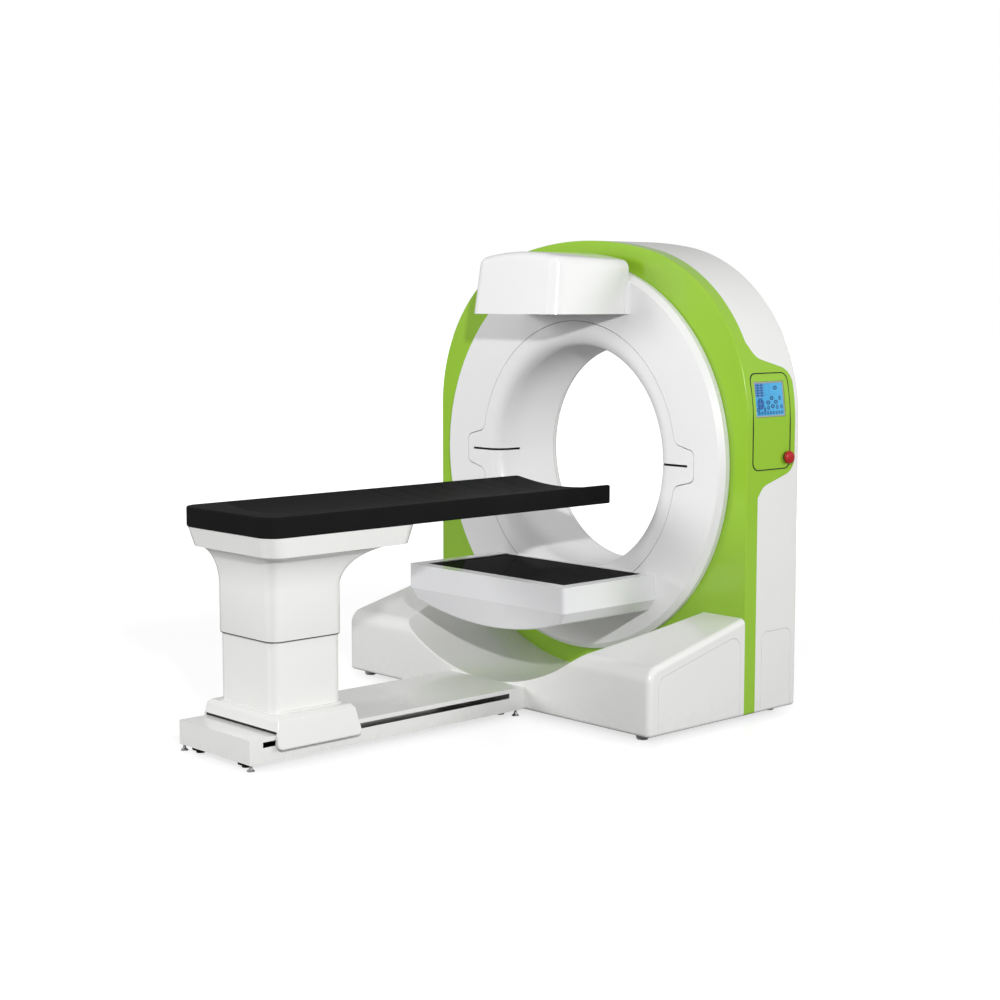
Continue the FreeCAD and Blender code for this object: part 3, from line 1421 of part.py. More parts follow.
tub_high = s.top_low - gap
keep("couch_tub", cut("couch_tub", tub("tub_outer", 0, s.tub_low, tub_high),
                      tub("tub_inner", s.tub_wall, s.tub_low + s.tub_wall, tub_high + 1)))

cross_low = s.tub_low + s.tub_wall
cross_high = cross_low + s.cross_rail_tall
cross_half = s.tub_half - s.tub_draft - s.tub_wall - s.cross_rail_end_gap
cross_bars = []
runners = []
runner_ways = []
for tag, y in (("near", -s.tub_near + s.cross_rail_inset), ("far", -s.tub_far - s.cross_rail_inset)):
    y0, y1 = y - s.cross_rail_wide / 2, y + s.cross_rail_wide / 2
    cross_bars.append(box("cross_bar_" + tag, (-cross_half, y0, cross_low), (cross_half, y1, cross_high)))
    runner_ways.append(box("runner_way_" + tag, (-s.tub_half, y0 - gap, cross_low - 5),
                           (s.tub_half, y1 + gap, cross_high + gap)))
    for end, way in (("left", -1), ("right", 1)):
        x = way * s.runner_x
        runners.append(box("runner_%s_%s" % (tag, end),
                           (x - s.runner_half, y - s.runner_half, cross_low + 8),
                           (x + s.runner_half, y + s.runner_half, s.top_low)))
keep("cross_rails", fuse("cross_rails", *cross_bars))
keep("top_runners", cut("top_runners", fuse("runner_set", *runners), *runner_ways))

# ---------------------------------------------------------------- the couch top

def couch_top():
    """The top: well rounded at the near end, square at the far end."""
    body = new_body("top_block")
    half = s.tub_half + s.top_overhang
    outline = draw(new_sketch(body, "XY_Plane", s.top_low),
                   [(-half, -s.top_near), (half, -s.top_near), (half, s.top_far), (-half, s.top_far)])
    block = pad(body, outline, s.top_high - s.top_low)
    halfway = -s.top_near.value / 2
    near_corners = round_edges(body, block, s.top_round_near,
                               lambda p, d: abs(d.z) > 0.99 and p.y < halfway)
    corners = round_edges(body, near_corners, s.top_round_far,
                          lambda p, d: abs(d.z) > 0.99 and p.y > halfway)
    round_edges(body, corners, s.top_edge, lambda p, d: near(p.z, s.top_high) or near(p.z, s.top_low))
    return body


dish_radius = (s.dish_half * s.dish_half + s.dish_depth * s.dish_depth) / (2 * s.dish_depth)
dish_z = s.top_high - s.dish_depth + dish_radius
dish_start = -s.dish_near + s.dish_run_out
dish = rod("dish", dish_radius, s.top_far + 20 - dish_start, (0, dish_start, dish_z))
run_out = cone("dish_run_out", dish_radius - s.dish_depth, dish_radius, s.dish_run_out,
               (0, -s.dish_near, dish_z))
top_grooves = []
for i in range(GROOVES):
    y = -s.groove_first - i * s.groove_pitch
    top_grooves.append(rod("top_groove_%d" % i, dish_radius + s.groove_depth, s.groove_wide,
                           (0, y, dish_z)))
keep("couch_top", cut("couch_top", couch_top(), dish, run_out, *top_grooves))

# ---------------------------------------------------------------- check and write

doc.recompute()
for thing in doc.Objects:
    if "Invalid" in thing.State or "Error" in thing.State:
        raise RuntimeError("failed: %s %s" % (thing.Name, thing.State))
os.makedirs("parts", exist_ok=True)
for node, thing in kept:
    shape = thing.Shape
    if shape.isNull() or not shape.isValid() or not shape.Solids:
        raise RuntimeError("bad shape: " + node)
    shape.exportStep("parts/%s.step" % node)
    print("%-20s %d solids %10.1f cm3" % (node, len(shape.Solids), shape.Volume / 1000))
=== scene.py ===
import math

import bmesh
import bpy
from mathutils import Matrix, Vector


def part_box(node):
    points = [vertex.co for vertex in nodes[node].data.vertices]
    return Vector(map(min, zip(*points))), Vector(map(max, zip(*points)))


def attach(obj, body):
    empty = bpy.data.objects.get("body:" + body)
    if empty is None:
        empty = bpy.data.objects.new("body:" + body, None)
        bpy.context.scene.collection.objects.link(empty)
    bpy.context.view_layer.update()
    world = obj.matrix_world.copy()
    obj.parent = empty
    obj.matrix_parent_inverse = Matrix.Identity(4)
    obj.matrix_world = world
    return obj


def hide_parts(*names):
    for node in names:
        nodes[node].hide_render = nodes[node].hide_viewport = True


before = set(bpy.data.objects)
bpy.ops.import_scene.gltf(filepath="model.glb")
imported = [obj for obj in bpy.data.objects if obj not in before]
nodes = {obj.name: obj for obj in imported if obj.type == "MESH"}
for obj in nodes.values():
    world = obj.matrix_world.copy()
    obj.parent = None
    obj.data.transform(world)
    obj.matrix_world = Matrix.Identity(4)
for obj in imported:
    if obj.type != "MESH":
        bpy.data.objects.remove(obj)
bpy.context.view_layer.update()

# ---------------------------------------------------------------- the camera
# It stands at eye height beyond the couch's end, well to its right, and looks a little down. Its
# place and lens follow from the straight edges in the photograph.

camera = bpy.data.objects.new("photo_camera", bpy.data.cameras.new("photo_camera"))
camera.location = (5.747, -5.692, 1.751)
camera.rotation_euler = (math.radians(83.717), 0.0, math.radians(47.197))
camera.data.sensor_width = 36
camera.data.lens = 66.03
bpy.context.scene.collection.objects.link(camera)
bpy.context.scene.camera = camera

# ---------------------------------------------------------------- the steel frame of the gantry
# Plate and box section, welded and powder-coated dark grey. It stands on the floor frame, which
# carries the four anchor feet, and holds the slewing ring at the height of the bore.


class Wire:
    """A socket of a material. Sums on it add Math nodes, and node() adds any other node."""

    def __init__(self, tree, socket=None):
        self.tree = tree
        self.socket = socket

    def node(self, kind, settings=None, sockets=None, output=0):
        made = self.tree.nodes.new("ShaderNode" + kind)
        for name, value in (settings or {}).items():
            setattr(made, name, value)
        for key, value in (sockets or {}).items():
            if isinstance(value, Wire):
                self.tree.links.new(value.socket, made.inputs[key])
            else:
                made.inputs[key].default_value = value
        return Wire(self.tree, made.outputs[output])

    def sum(self, operation, *terms):
        return self.node("Math", {"operation": operation}, dict(enumerate(terms)))

    def __add__(self, other):
        return self.sum("ADD", self, other)

    def __sub__(self, other):
        return self.sum("SUBTRACT", self, other)

    def __rsub__(self, other):
        return self.sum("SUBTRACT", other, self)

    def __mul__(self, other):
        return self.sum("MULTIPLY", self, other)

    def __truediv__(self, other):
        return self.sum("DIVIDE", self, other)

    __radd__ = __add__
    __rmul__ = __mul__

    def through(self, operation):
        """This put through an operation that takes one number, such as a sine."""
        return self.sum(operation, self)

    def larger(self, other):
        return self.sum("MAXIMUM", self, other)

    def smaller(self, other):
        return self.sum("MINIMUM", self, other)

    def ramp(self, low, high):
        """Rises softly from 0 at low to 1 at high, or falls where low is the larger."""
        sockets = {"Value": self, "From Min": low, "From Max": high}
        return self.node("MapRange", {"interpolation_type": "SMOOTHSTEP"}, sockets)

    def between(self, low, high, edge):
        """1 from low to high, and 0 beyond them."""
        return self.ramp(low - edge, low) * self.ramp(high + edge, high)

    def mix(self, first, second):
        """The first colour where this is 0, and the second where it is 1."""
        factor, colour_a, colour_b, mixed = 0, 6, 7, 2
        colours = [c if isinstance(c, Wire) else (*c[:3], 1.0) for c in (first, second)]
        sockets = {factor: self, colour_a: colours[0], colour_b: colours[1]}
        return self.node("Mix", {"data_type": "RGBA"}, sockets, mixed)


class Finish(Wire):
    """A new material. Its patterns read place, the point on the object in metres."""

    def __init__(self, name, **values):
        self.material = bpy.data.materials.new(name)
        self.material.use_nodes = True
        super().__init__(self.material.node_tree)
        self.shader = self.tree.nodes["Principled BSDF"]
        self.place = self.node("TexCoord", output="Object")
        parts = self.node("SeparateXYZ", sockets={0: self.place}).socket.node.outputs
        self.x, self.y, self.z = [Wire(self.tree, part) for part in parts]
        self.set(**values)

    def set(self, **values):
        for name, value in values.items():
            socket = self.shader.inputs[name.replace("_", " ")]
            if isinstance(value, Wire):
                self.tree.links.new(value.socket, socket)
            else:
                socket.default_value = value

    def noise(self, size, detail, stretch=(1, 1, 1), where=None):
        """Clouds from 0 to 1, with patches about size metres wide."""
        vectors = {0: where or self.place, 1: [part / size for part in stretch]}
        scaled = self.node("VectorMath", {"operation": "MULTIPLY"}, vectors)
        return self.node("TexNoise", sockets={"Vector": scaled, "Scale": 1.0, "Detail": detail})

    def bump(self, height, depth):
        """A normal that is raised by depth metres where height is 1."""
        return self.node("Bump", sockets={"Strength": 1.0, "Distance": depth, "Height": height})

    def dress(self, *things):
        """Puts this material in every slot of the things, or in a first slot where they have none."""
        for thing in things:
            if not thing.material_slots:
                thing.data.materials.append(self.material)
            for slot in thing.material_slots:
                slot.material = self.material


def shade(colour, factor):
    """The colour made lighter or darker, and opaque."""
    return (*[part * factor for part in colour[:3]], 1.0)


def powder_coat(name, colour):
    """Baked powder: an even colour with a fine pebbled skin, rubbed a little in places."""
    coat = Finish(name, Metallic=0.0, IOR=1.48)
    pebbles = coat.noise(size=0.0016, detail=3.0)
    clouds = coat.noise(size=0.22, detail=4.0)
    rubbed = coat.noise(size=0.05, detail=6.0).ramp(0.62, 0.78)
    body = clouds.mix(shade(colour, 0.86), shade(colour, 1.12))
    coat.set(Base_Color=(rubbed * 0.35).mix(body, shade(colour, 1.9)))
    coat.set(Roughness=0.46 + clouds * 0.14 - rubbed * 0.1)
    coat.set(Normal=coat.bump(pebbles, depth=0.00012))
    return coat


frame_grey = (0.055, 0.058, 0.062)
powder_coat("frame_powder", frame_grey).dress(nodes["floor_frame"], nodes["gantry_frame"])

# ---------------------------------------------------------------- the anchor feet
# Four round feet of moulded grey nylon under the corners, each on a rubber sole and bolted through
# to the floor. The mould leaves a faint grain, and the floor's dust greys the lowest millimetres.


def turned_shape(profile, place, steps=40):
    """A profile of (radius, height) pairs turned about its own Z axis, then put in place."""
    shape = bmesh.new()
    points = [shape.verts.new((radius, 0, height)) for radius, height in profile]
    lines = [shape.edges.new(pair) for pair in zip(points, points[1:])]
    bmesh.ops.spin(shape, geom=points + lines, cent=(0, 0, 0), axis=(0, 0, 1), angle=math.tau,
                   steps=steps, use_merge=True)
    bmesh.ops.transform(shape, matrix=place, verts=shape.verts)
    return shape


def corner_spots(low, high, radius):
    """Where round feet of one radius stand on the floor, one in each corner of a box."""
    return [Matrix.Translation((x, y, 0)) for x in (low.x + radius, high.x - radius)
            for y in (low.y + radius, high.y - radius)]


def piece(name, body, shapes, finish, stands_for=(), sharp=32):
    """One object of its own from bmesh shapes. It rides on a body and stands for the nodes named."""
    merge_gap = 0.00002
    mesh = bpy.data.meshes.new(name)
    whole = bmesh.new()
    for shape in shapes:
        bmesh.ops.remove_doubles(shape, verts=shape.verts, dist=merge_gap)
        bmesh.ops.recalc_face_normals(shape, faces=shape.faces)
        shape.to_mesh(mesh)
        shape.free()
        whole.from_mesh(mesh)
    whole.to_mesh(mesh)
    whole.free()
    mesh.shade_smooth()
    mesh.set_sharp_from_angle(angle=math.radians(sharp))
    thing = bpy.data.objects.new(name, mesh)
    bpy.context.scene.collection.objects.link(thing)
    finish.dress(thing)
    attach(thing, body)
    if stands_for:
        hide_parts(*stands_for)


def moulded(name, colour, roughness, grain, depth):
    """Injection-moulded plastic: an even colour with the fine grain of the mould."""
    plastic = Finish(name, IOR=1.5)
    clouds = plastic.noise(size=0.09, detail=3.0)
    skin = plastic.noise(size=grain, detail=2.0)
    plastic.set(Base_Color=clouds.mix(shade(colour, 0.93), shade(colour, 1.05)))
    plastic.set(Roughness=roughness + clouds * 0.1)
    plastic.set(Normal=plastic.bump(skin, depth))
    return plastic


foot_grey, dust_grey, dust_high = (0.47, 0.47, 0.48), (0.21, 0.2, 0.19), 0.016
feet_plastic = moulded("feet_nylon", foot_grey, roughness=0.42, grain=0.0012, depth=0.00008)
dust = feet_plastic.z.ramp(dust_high, 0.0) * feet_plastic.noise(size=0.012, detail=4.0)
feet_plastic.set(Base_Color=dust.mix(foot_grey, dust_grey))
feet_low, feet_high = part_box("anchor_feet")
foot_radius, sole_radius, neck_radius = 0.026, 0.024, 0.0225
# (radius, height) up the sole, the neck over it and the foot, to the flat top
foot_profile = ((0, 0), (0.022, 0), (sole_radius, 0.002), (sole_radius, 0.006),
                (neck_radius, 0.007), (neck_radius, 0.009), (0.0255, 0.0095), (foot_radius, 0.011),
                (foot_radius, 0.022), (0.024, 0.0245), (0.024, feet_high.z), (0, feet_high.z))
feet = [turned_shape(foot_profile, spot) for spot in corner_spots(feet_low, feet_high, foot_radius)]
piece("levelling_feet", "gantry", feet, feet_plastic, ("anchor_feet",))

# ---------------------------------------------------------------- the slewing ring and its drive
# The races, rim and pulley are turned steel, so their cut runs round their own axes. The belt is
# black rubber, and the motor a dark casting on a machined flange.


def turned(name, colour, centre, roughness):
    """Metal turned on a lathe about an axis along Y through centre, an (x, z) pair."""
    groove = 0.0009
    metal = Finish(name, Metallic=1.0)
    across = metal.x - centre[0]
    upward = metal.z - centre[1]
    radius = (across * across + upward * upward).through("SQRT")
    rings = metal.node("CombineXYZ", sockets={0: radius, 1: metal.y})
    cut = metal.noise(size=groove, detail=3.0, where=rings)
    clouds = metal.noise(size=0.12, detail=4.0)
    metal.set(Base_Color=clouds.mix(shade(colour, 0.88), shade(colour, 1.06)))
    metal.set(Roughness=roughness + cut * 0.12 + clouds * 0.08)
    metal.set(Normal=metal.bump(cut, depth=0.00002))
    return metal


bore_axis = (0.0, 1.05)
steel, motor_grey = (0.50, 0.50, 0.51), (0.035, 0.038, 0.042)
turned("ring_steel", steel, bore_axis, roughness=0.22).dress(
    nodes["bearing_outer_race"], nodes["bearing_inner_race"], nodes["drive_rim"])
pulley_low, pulley_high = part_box("motor_pulley")
pulley_axis = ((pulley_low.x + pulley_high.x) / 2, (pulley_low.z + pulley_high.z) / 2)
turned("pulley_steel", steel, pulley_axis, roughness=0.2).dress(nodes["motor_pulley"])
powder_coat("motor_casting", motor_grey).dress(nodes["drive_motor"])

belt_black, chalk_grey = (0.014, 0.014, 0.015), (0.07, 0.07, 0.07)
belt = Finish("belt_rubber")
weave = belt.noise(size=0.0022, detail=3.0)
chalk = belt.noise(size=0.05, detail=5.0).ramp(0.55, 0.8)
belt.set(Base_Color=(chalk * 0.3).mix(belt_black, chalk_grey))
belt.set(Roughness=0.62 + weave * 0.2, Normal=belt.bump(weave, depth=0.0002))
belt.dress(nodes["drive_belt"])

# ---------------------------------------------------------------- the rotor's disc, drum and arms
# The disc and drum are turned aluminium, and the two arms are milled from plate. They carry the
# tube above, the flat detector below, and painted balance weights on the back of the disc.


def milled(name, colour, roughness, along):
    """Milled plate: fine straight tool marks along one direction."""
    mark_wide, mark_stretch = 0.0011, 0.03
    metal = Finish(name, Metallic=1.0)
    stretch = [mark_stretch if part else 1 for part in along]
    marks = metal.noise(size=mark_wide, detail=2.0, stretch=stretch)
    clouds = metal.noise(size=0.15, detail=4.0)
    metal.set(Base_Color=clouds.mix(shade(colour, 0.9), shade(colour, 1.05)))
    metal.set(Roughness=roughness + marks * 0.15 + clouds * 0.06)
    metal.set(Normal=metal.bump(marks, depth=0.00002))
    return metal


along_x, along_y, along_z = (1, 0, 0), (0, 1, 0), (0, 0, 1)
aluminium, weight_grey = (0.66, 0.67, 0.69), (0.05, 0.052, 0.056)
tube_grey, case_grey, window_grey = (0.58, 0.59, 0.6), (0.6, 0.61, 0.62), (0.28, 0.28, 0.29)
turned("rotor_aluminium", aluminium, bore_axis, roughness=0.28).dress(
    nodes["rotor_disc"], nodes["rotor_drum"])
milled("arm_aluminium", aluminium, roughness=0.27, along=along_y).dress(
    nodes["head_arm"], nodes["tray_arm"])
powder_coat("weight_powder", weight_grey).dress(nodes["balance_weights"], nodes["collimator"])
milled("tube_housing", tube_grey, roughness=0.3, along=along_x).dress(nodes["xray_tube"])
milled("detector_case", case_grey, roughness=0.34, along=along_x).dress(nodes["flat_detector"])
moulded("beam_window_plastic", window_grey, roughness=0.38, grain=0.0014, depth=0.00006).dress(
    nodes["beam_window"])

# ---------------------------------------------------------------- the ring cover and the bore
# Filled glass-fibre shells in satin white that turn with the rotor: the broad ring, the bell and
# tunnel of the bore, and between them a hairline joint.


def sprayed(name, colour, roughness, grime=None, coat=0.4):
    """Paint on a filled shell under a clear coat: faint clouds, orange peel, handled places."""
    orange_peel = 0.004
    paint = Finish(name, IOR=1.48, Coat_Roughness=0.05, Coat_IOR=1.5)
    clouds = paint.noise(size=0.35, detail=3.0)
    touched = paint.noise(size=0.3, detail=2.0).ramp(0.35, 0.85)
    body = clouds.mix(shade(colour, 0.975), shade(colour, 1.015))
    if grime:
        reach, tint = grime
        low = paint.z.ramp(reach, 0.02) * paint.noise(size=0.03, detail=6.0).ramp(0.4, 0.75)
        body = (low * 0.2).mix(body, tint)
    skin = paint.noise(size=orange_peel, detail=1.0)
    paint.set(Base_Color=body)
    paint.set(Roughness=roughness + touched * 0.04)
    paint.set(Coat_Weight=coat - touched * 0.06)
    paint.set(Normal=paint.bump(skin, depth=0.000018))
    return paint


ring_white = (0.80, 0.80, 0.80)
sprayed("ring_satin", ring_white, roughness=0.42, coat=0.12).dress(
    nodes["ring_cover"], nodes["bore_liner"])

# ---------------------------------------------------------------- the laser windows
# Narrow slots in the bore's tabs at three and nine o'clock, through which the alignment lasers
# shine. They are glazed with smoked plastic that looks black.

smoke_black, smear_black = (0.006, 0.006, 0.007), (0.014, 0.014, 0.016)
smoked = Finish("smoked_slot", IOR=1.5, Roughness=0.12)
smoked.set(Base_Color=smoked.noise(size=0.006, detail=4.0).mix(smoke_black, smear_black))
smoked.dress(nodes["laser_windows"])

# ---------------------------------------------------------------- the head and the tray
# The head shades the tube and overhangs the bore; the tray below holds the detector under a plate
# of black glass. Both are moulded white shells, sprayed and polished to a gloss.

tray_white = (0.74, 0.74, 0.755)
sprayed("head_gloss", ring_white, roughness=0.16).dress(nodes["head_cover"])
sprayed("tray_gloss", tray_white, roughness=0.18).dress(nodes["tray_shell"])

glass_black, glass_sheen = (0.007, 0.007, 0.008), (0.010, 0.010, 0.011)
plate = Finish("detector_plate", IOR=1.5, Specular_IOR_Level=0.0)
plate.set(Coat_Weight=0.06, Coat_Roughness=0.03)
smears = plate.noise(size=0.2, detail=3.0)
plate.set(Base_Color=smears.mix(glass_black, glass_sheen))
plate.set(Roughness=0.08 + smears * 0.03)
plate.dress(nodes["detector_glass"])

# ---------------------------------------------------------------- the green fascia and its panel
# A deep pan of lime-green glass fibre with a rolled front edge. On the right flank it widens into
# a pod that carries the inset control panel.

lime = (0.285, 0.52, 0.032)
sprayed("lime_gloss", lime, roughness=0.2).dress(nodes["front_fascia"], nodes["control_panel"])

# ---------------------------------------------------------------- the panel's seal
# A black rubber bead pressed into the joint round the control panel. Its lip laps the panel's edge
# and stands a hair proud of the skin, up the flank and over the start of the shoulder.
# Its black also stands for the shade in the joint: partly a real seal, partly painted shade.

up = Vector((0, 0, 1))
hair = 0.00001  # a distance too small to see
squarely = 0.9  # the cosine above which a face or an edge counts as looking along an axis


def round_off(shape, edges, radius, segments):
    """Rounds edges of a shape."""
    bmesh.ops.bevel(shape, geom=edges, offset=radius, segments=segments, affect="EDGES",
                    profile=0.5, material=-1)


def plate_shape(half_x, half_y, radius, low, high, edge=0.0, place=Matrix()):
    """A plate with round corners and a softened upper rim."""
    shape = bmesh.new()
    size = Matrix.Diagonal((2 * half_x, 2 * half_y, high - low, 1))
    bmesh.ops.create_cube(shape, size=1, matrix=Matrix.Translation((0, 0, (low + high) / 2)) @ size)
    corners = [e for e in shape.edges
               if abs(e.verts[0].co.z - e.verts[1].co.z) > (high - low) / 2]
    round_off(shape, corners, radius, segments=8)
    if edge:
        rim = [e for e in shape.edges if min(v.co.z for v in e.verts) > high - hair]
        round_off(shape, rim, edge, segments=3)
    bmesh.ops.transform(shape, matrix=place, verts=shape.verts)
    shape.normal_update()
    return shape


def slice_across(shape, heights):
    """Cuts level lines into a shape, so that it can bend at them."""
    for height in heights:
        bmesh.ops.bisect_plane(shape, geom=shape.verts[:] + shape.edges[:] + shape.faces[:],
                               plane_co=(0, 0, height), plane_no=(0, 0, 1))


def pull(shape, faces, way):
    """Draws faces out along a way, with walls behind them. The first faces stay where they were."""
    drawn = bmesh.ops.extrude_face_region(shape, geom=faces)["geom"]
    points = [part for part in drawn if isinstance(part, bmesh.types.BMVert)]
    bmesh.ops.translate(shape, verts=points, vec=way)


def widest(faces):
    """The face with the largest area."""
    return max(faces, key=lambda f: f.calc_area())


rubber_black = (0.014, 0.014, 0.014)
rubber = moulded("pad_rubber", rubber_black, roughness=0.7, grain=0.002, depth=0.0001)
flank_axes = Matrix(((0, 0, 1, 0), (1, 0, 0, 0), (0, 1, 0, 0), (0, 0, 0, 1)))
shoulder_radius, shoulder_z = 0.9518, 1.2136
seal_low, seal_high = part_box("control_panel")
seal_middle = (seal_low + seal_high) / 2
seal_wide, seal_lap, seal_proud, seal_deep = 0.0037, 0.0003, 0.0003, 0.003
seal_round, sheet_half = 0.037, 0.001
first_slice, slice_gap, slice_count = 0.1, 0.025, 12
seal = plate_shape((seal_high.y - seal_low.y) / 2 + seal_wide,
                   (seal_high.z - seal_low.z) / 2 + seal_wide, seal_round, -sheet_half, sheet_half)
under_sides = [f for f in seal.faces if f.normal.z < squarely]
bmesh.ops.delete(seal, geom=under_sides, context="FACES")
bmesh.ops.inset_region(seal, faces=seal.faces[:], thickness=seal_wide + seal_lap,
                       use_boundary=True, use_even_offset=True)
bmesh.ops.delete(seal, geom=[widest(seal.faces)], context="FACES")
seal_place = Matrix.Translation((0, seal_middle.y, seal_middle.z)) @ flank_axes
bmesh.ops.transform(seal, matrix=seal_place, verts=seal.verts)
slice_across(seal, [seal_low.z + first_slice + slice_gap * i for i in range(slice_count)])
for vertex in seal.verts:
    above = max(vertex.co.z - shoulder_z, 0)
    vertex.co.x = math.sqrt(shoulder_radius * shoulder_radius - above * above) + seal_proud
pull(seal, seal.faces[:], (-seal_deep, 0, 0))
piece("panel_seal_and_shade", "gantry", [seal], rubber)

# ---------------------------------------------------------------- the touch screen's bezel
# A slim frame of moulded grey plastic, sunk into the upper part of the panel. The screen's glass
# is laid in the step inside its border.

screen_tilt = math.radians(7.39)
screen_spot = Vector((0.9439, 0.280, 1.336))
screen_place = Matrix.Translation(screen_spot) @ Matrix.Rotation(-screen_tilt, 4, "Y") @ flank_axes
bezel_half = Vector((0.0957, 0.0737))
bezel_round, bezel_low, bezel_high, bezel_edge = 0.004, -0.028, -0.004, 0.0012
border_wide, step_wide, step_deep = 0.0042, 0.0012, 0.003
bezel_grey = (0.33, 0.36, 0.34)


def top_of(shape, axis):
    """The widest face that looks along an axis."""
    return widest(f for f in shape.faces if f.normal.dot(axis) > squarely)


bezel = plate_shape(*bezel_half, bezel_round, bezel_low, bezel_high, bezel_edge)
bezel_face = top_of(bezel, up)
bmesh.ops.inset_region(bezel, faces=[bezel_face], thickness=border_wide)
bmesh.ops.inset_region(bezel, faces=[bezel_face], thickness=step_wide, depth=-step_deep)
bmesh.ops.transform(bezel, matrix=screen_place, verts=bezel.verts)
bezel_plastic = moulded("bezel_grey", bezel_grey, roughness=0.32, grain=0.001, depth=0.00002)
piece("screen_bezel", "gantry", [bezel], bezel_plastic, ("touch_screen",))

# ---------------------------------------------------------------- the touch screen's glass
# A coated glass plate over the display, laid in the bezel. The lit picture is a pale blue field
# with round keys, a list at the top left and a dial below it.

glass_half, glass_round, glass_edge = Vector((0.0885, 0.0665)), 0.002, 0.0004
glass_low, glass_top = -0.0085, -0.0062
display = Finish("screen_display", IOR=1.5, Roughness=0.12, Coat_Weight=0.25, Coat_Roughness=0.03)
wide, tall = 2 * glass_half.x, 2 * glass_half.y * math.cos(screen_tilt)
picture_top = screen_spot.z + tall / 2 + glass_top * math.sin(screen_tilt)
across = (display.y - (screen_spot.y - glass_half.x)) / wide
down = (picture_top - display.z) / tall


def key_distance(u, v, half_u, half_v):
    """Squared distance from a key's middle, which is 1 on its rim. Sizes are parts of the picture."""
    sideways = (across - u) / half_u
    downwards = (down - v) / half_v
    return sideways * sideways + downwards * downwards


round_keys = [(0.74, 0.15), (0.589, 0.466), (0.452, 0.60), (0.734, 0.593), (0.608, 0.725)]
small_keys = [(0.882, 0.475), (0.447, 0.765), (0.773, 0.753), (0.926, 0.746), (0.315, 0.812),
              (0.074, 0.82)]
row_start, row_pitch, row_v, row_count = 0.1, 0.1046, 0.92, 9
row_keys = [(row_start + row_pitch * i, row_v) for i in range(row_count)]
key_groups = ((round_keys, 0.068, 0.06), (small_keys, 0.043, 0.066), (row_keys, 0.036, 0.05))
nearest = None
for spots, half_u, half_v in key_groups:
    for u, v in spots:
        away = key_distance(u, v, half_u, half_v)
        nearest = nearest.smaller(away) if nearest else away
key_rims = nearest.between(0.34, 1.05, 0.12)
key_signs = nearest.ramp(0.14, 0.04)

dial_u, dial_v, dial_half_u, dial_half_v = 0.175, 0.635, 0.12, 0.18
dial = key_distance(dial_u, dial_v, dial_half_u, dial_half_v)
dial_arms = (across - dial_u).through("ABSOLUTE").smaller((down - dial_v).through("ABSOLUTE"))
dial_cross = dial.ramp(0.8, 0.6) * dial_arms.ramp(0.012, 0.005)

list_wide, list_tall, list_edge, line_beat, word_beat = 0.31, 0.42, 0.008, 80, 46
listing = across.between(0.0, list_wide, list_edge) * down.between(0.0, list_tall, list_edge)
lines = (down * line_beat).through("SINE").ramp(0.5, 0.8)
words = (across * word_beat).through("SINE").ramp(-0.3, 0.1)

rule_edge = 0.004
upright_rule = across.between(0.497, 0.503, rule_edge) * down.ramp(0.36, 0.34)
level_rule = down.between(0.352, 0.36, rule_edge) * across.ramp(0.32, 0.34)

field_left, field_right = (0.045, 0.36, 0.70), (0.075, 0.46, 0.80)
pane_black = (0.01, 0.012, 0.016, 1.0)
field = across.mix(field_left, field_right)
for mask, colour in ((upright_rule.larger(level_rule) * 0.5, (0.02, 0.20, 0.48)),
                     (listing * 0.85, (0.012, 0.105, 0.36)),
                     (listing * (lines * words) * 0.55, (0.40, 0.68, 0.86)),
                     (dial.ramp(1.08, 0.95), (0.010, 0.10, 0.35)),
                     (dial_cross * 0.6, (0.10, 0.42, 0.72)),
                     (key_rims, (0.004, 0.055, 0.20)),
                     (key_signs * 0.8, (0.004, 0.08, 0.25))):
    field = mask.mix(field, colour)
display.set(Base_Color=pane_black, Emission_Color=field, Emission_Strength=0.95)
glass = plate_shape(*glass_half, glass_round, glass_low, glass_top, glass_edge, screen_place)
piece("screen_glass", "gantry", [glass], display)

# ---------------------------------------------------------------- the stop button
# A red mushroom on a black collar, both moulded, which is pushed in towards the switch behind the
# panel. Its cap is hollow under the skirt and stands on a stem.

stop_low, stop_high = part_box("stop_button")
stop_y, stop_z = (stop_low.y + stop_high.y) / 2, (stop_low.z + stop_high.z) / 2
skirt, stem_radius = stop_high.x - 0.0225, 0.0095
# (radius, drop below the top) over the cap, then (radius, x) round the skirt and down the stem
cap_drops = ((0, 0), (0.007, 0.0002), (0.014, 0.0010), (0.020, 0.0030), (0.0245, 0.0070),
             (0.0268, 0.0120), (0.0272, 0.0165))
button_profile = [(radius, stop_high.x - drop) for radius, drop in cap_drops]
button_profile += [(0.0264, skirt + 0.0010), (0.0255, skirt), (0.0240, skirt),
                   (0.0238, stop_high.x - 0.0130), (stem_radius, stop_high.x - 0.0125),
                   (stem_radius, stop_low.x), (0, stop_low.x)]
button_place = Matrix.Translation((0, stop_y, stop_z)) @ Matrix.Rotation(math.pi / 2, 4, "Y")
stop_colour, collar_black = (0.42, 0.012, 0.014), (0.018, 0.018, 0.019)
stop_red = moulded("stop_red", stop_colour, roughness=0.3, grain=0.0016, depth=0.00003)
button = turned_shape(button_profile, button_place, steps=48)
piece("stop_mushroom", "stop", [button], stop_red, ("stop_button",), sharp=40)
moulded("stop_black", collar_black, roughness=0.36, grain=0.0012, depth=0.00004).dress(
    nodes["stop_collar"], nodes["stop_switch"])

# ---------------------------------------------------------------- the white rear and the plinth
# The rear housing, its hatches and back cover, and the two wedge feet with the cradle between
# them are all sprayed glass fibre. Shoes and mops scuff them near the floor.

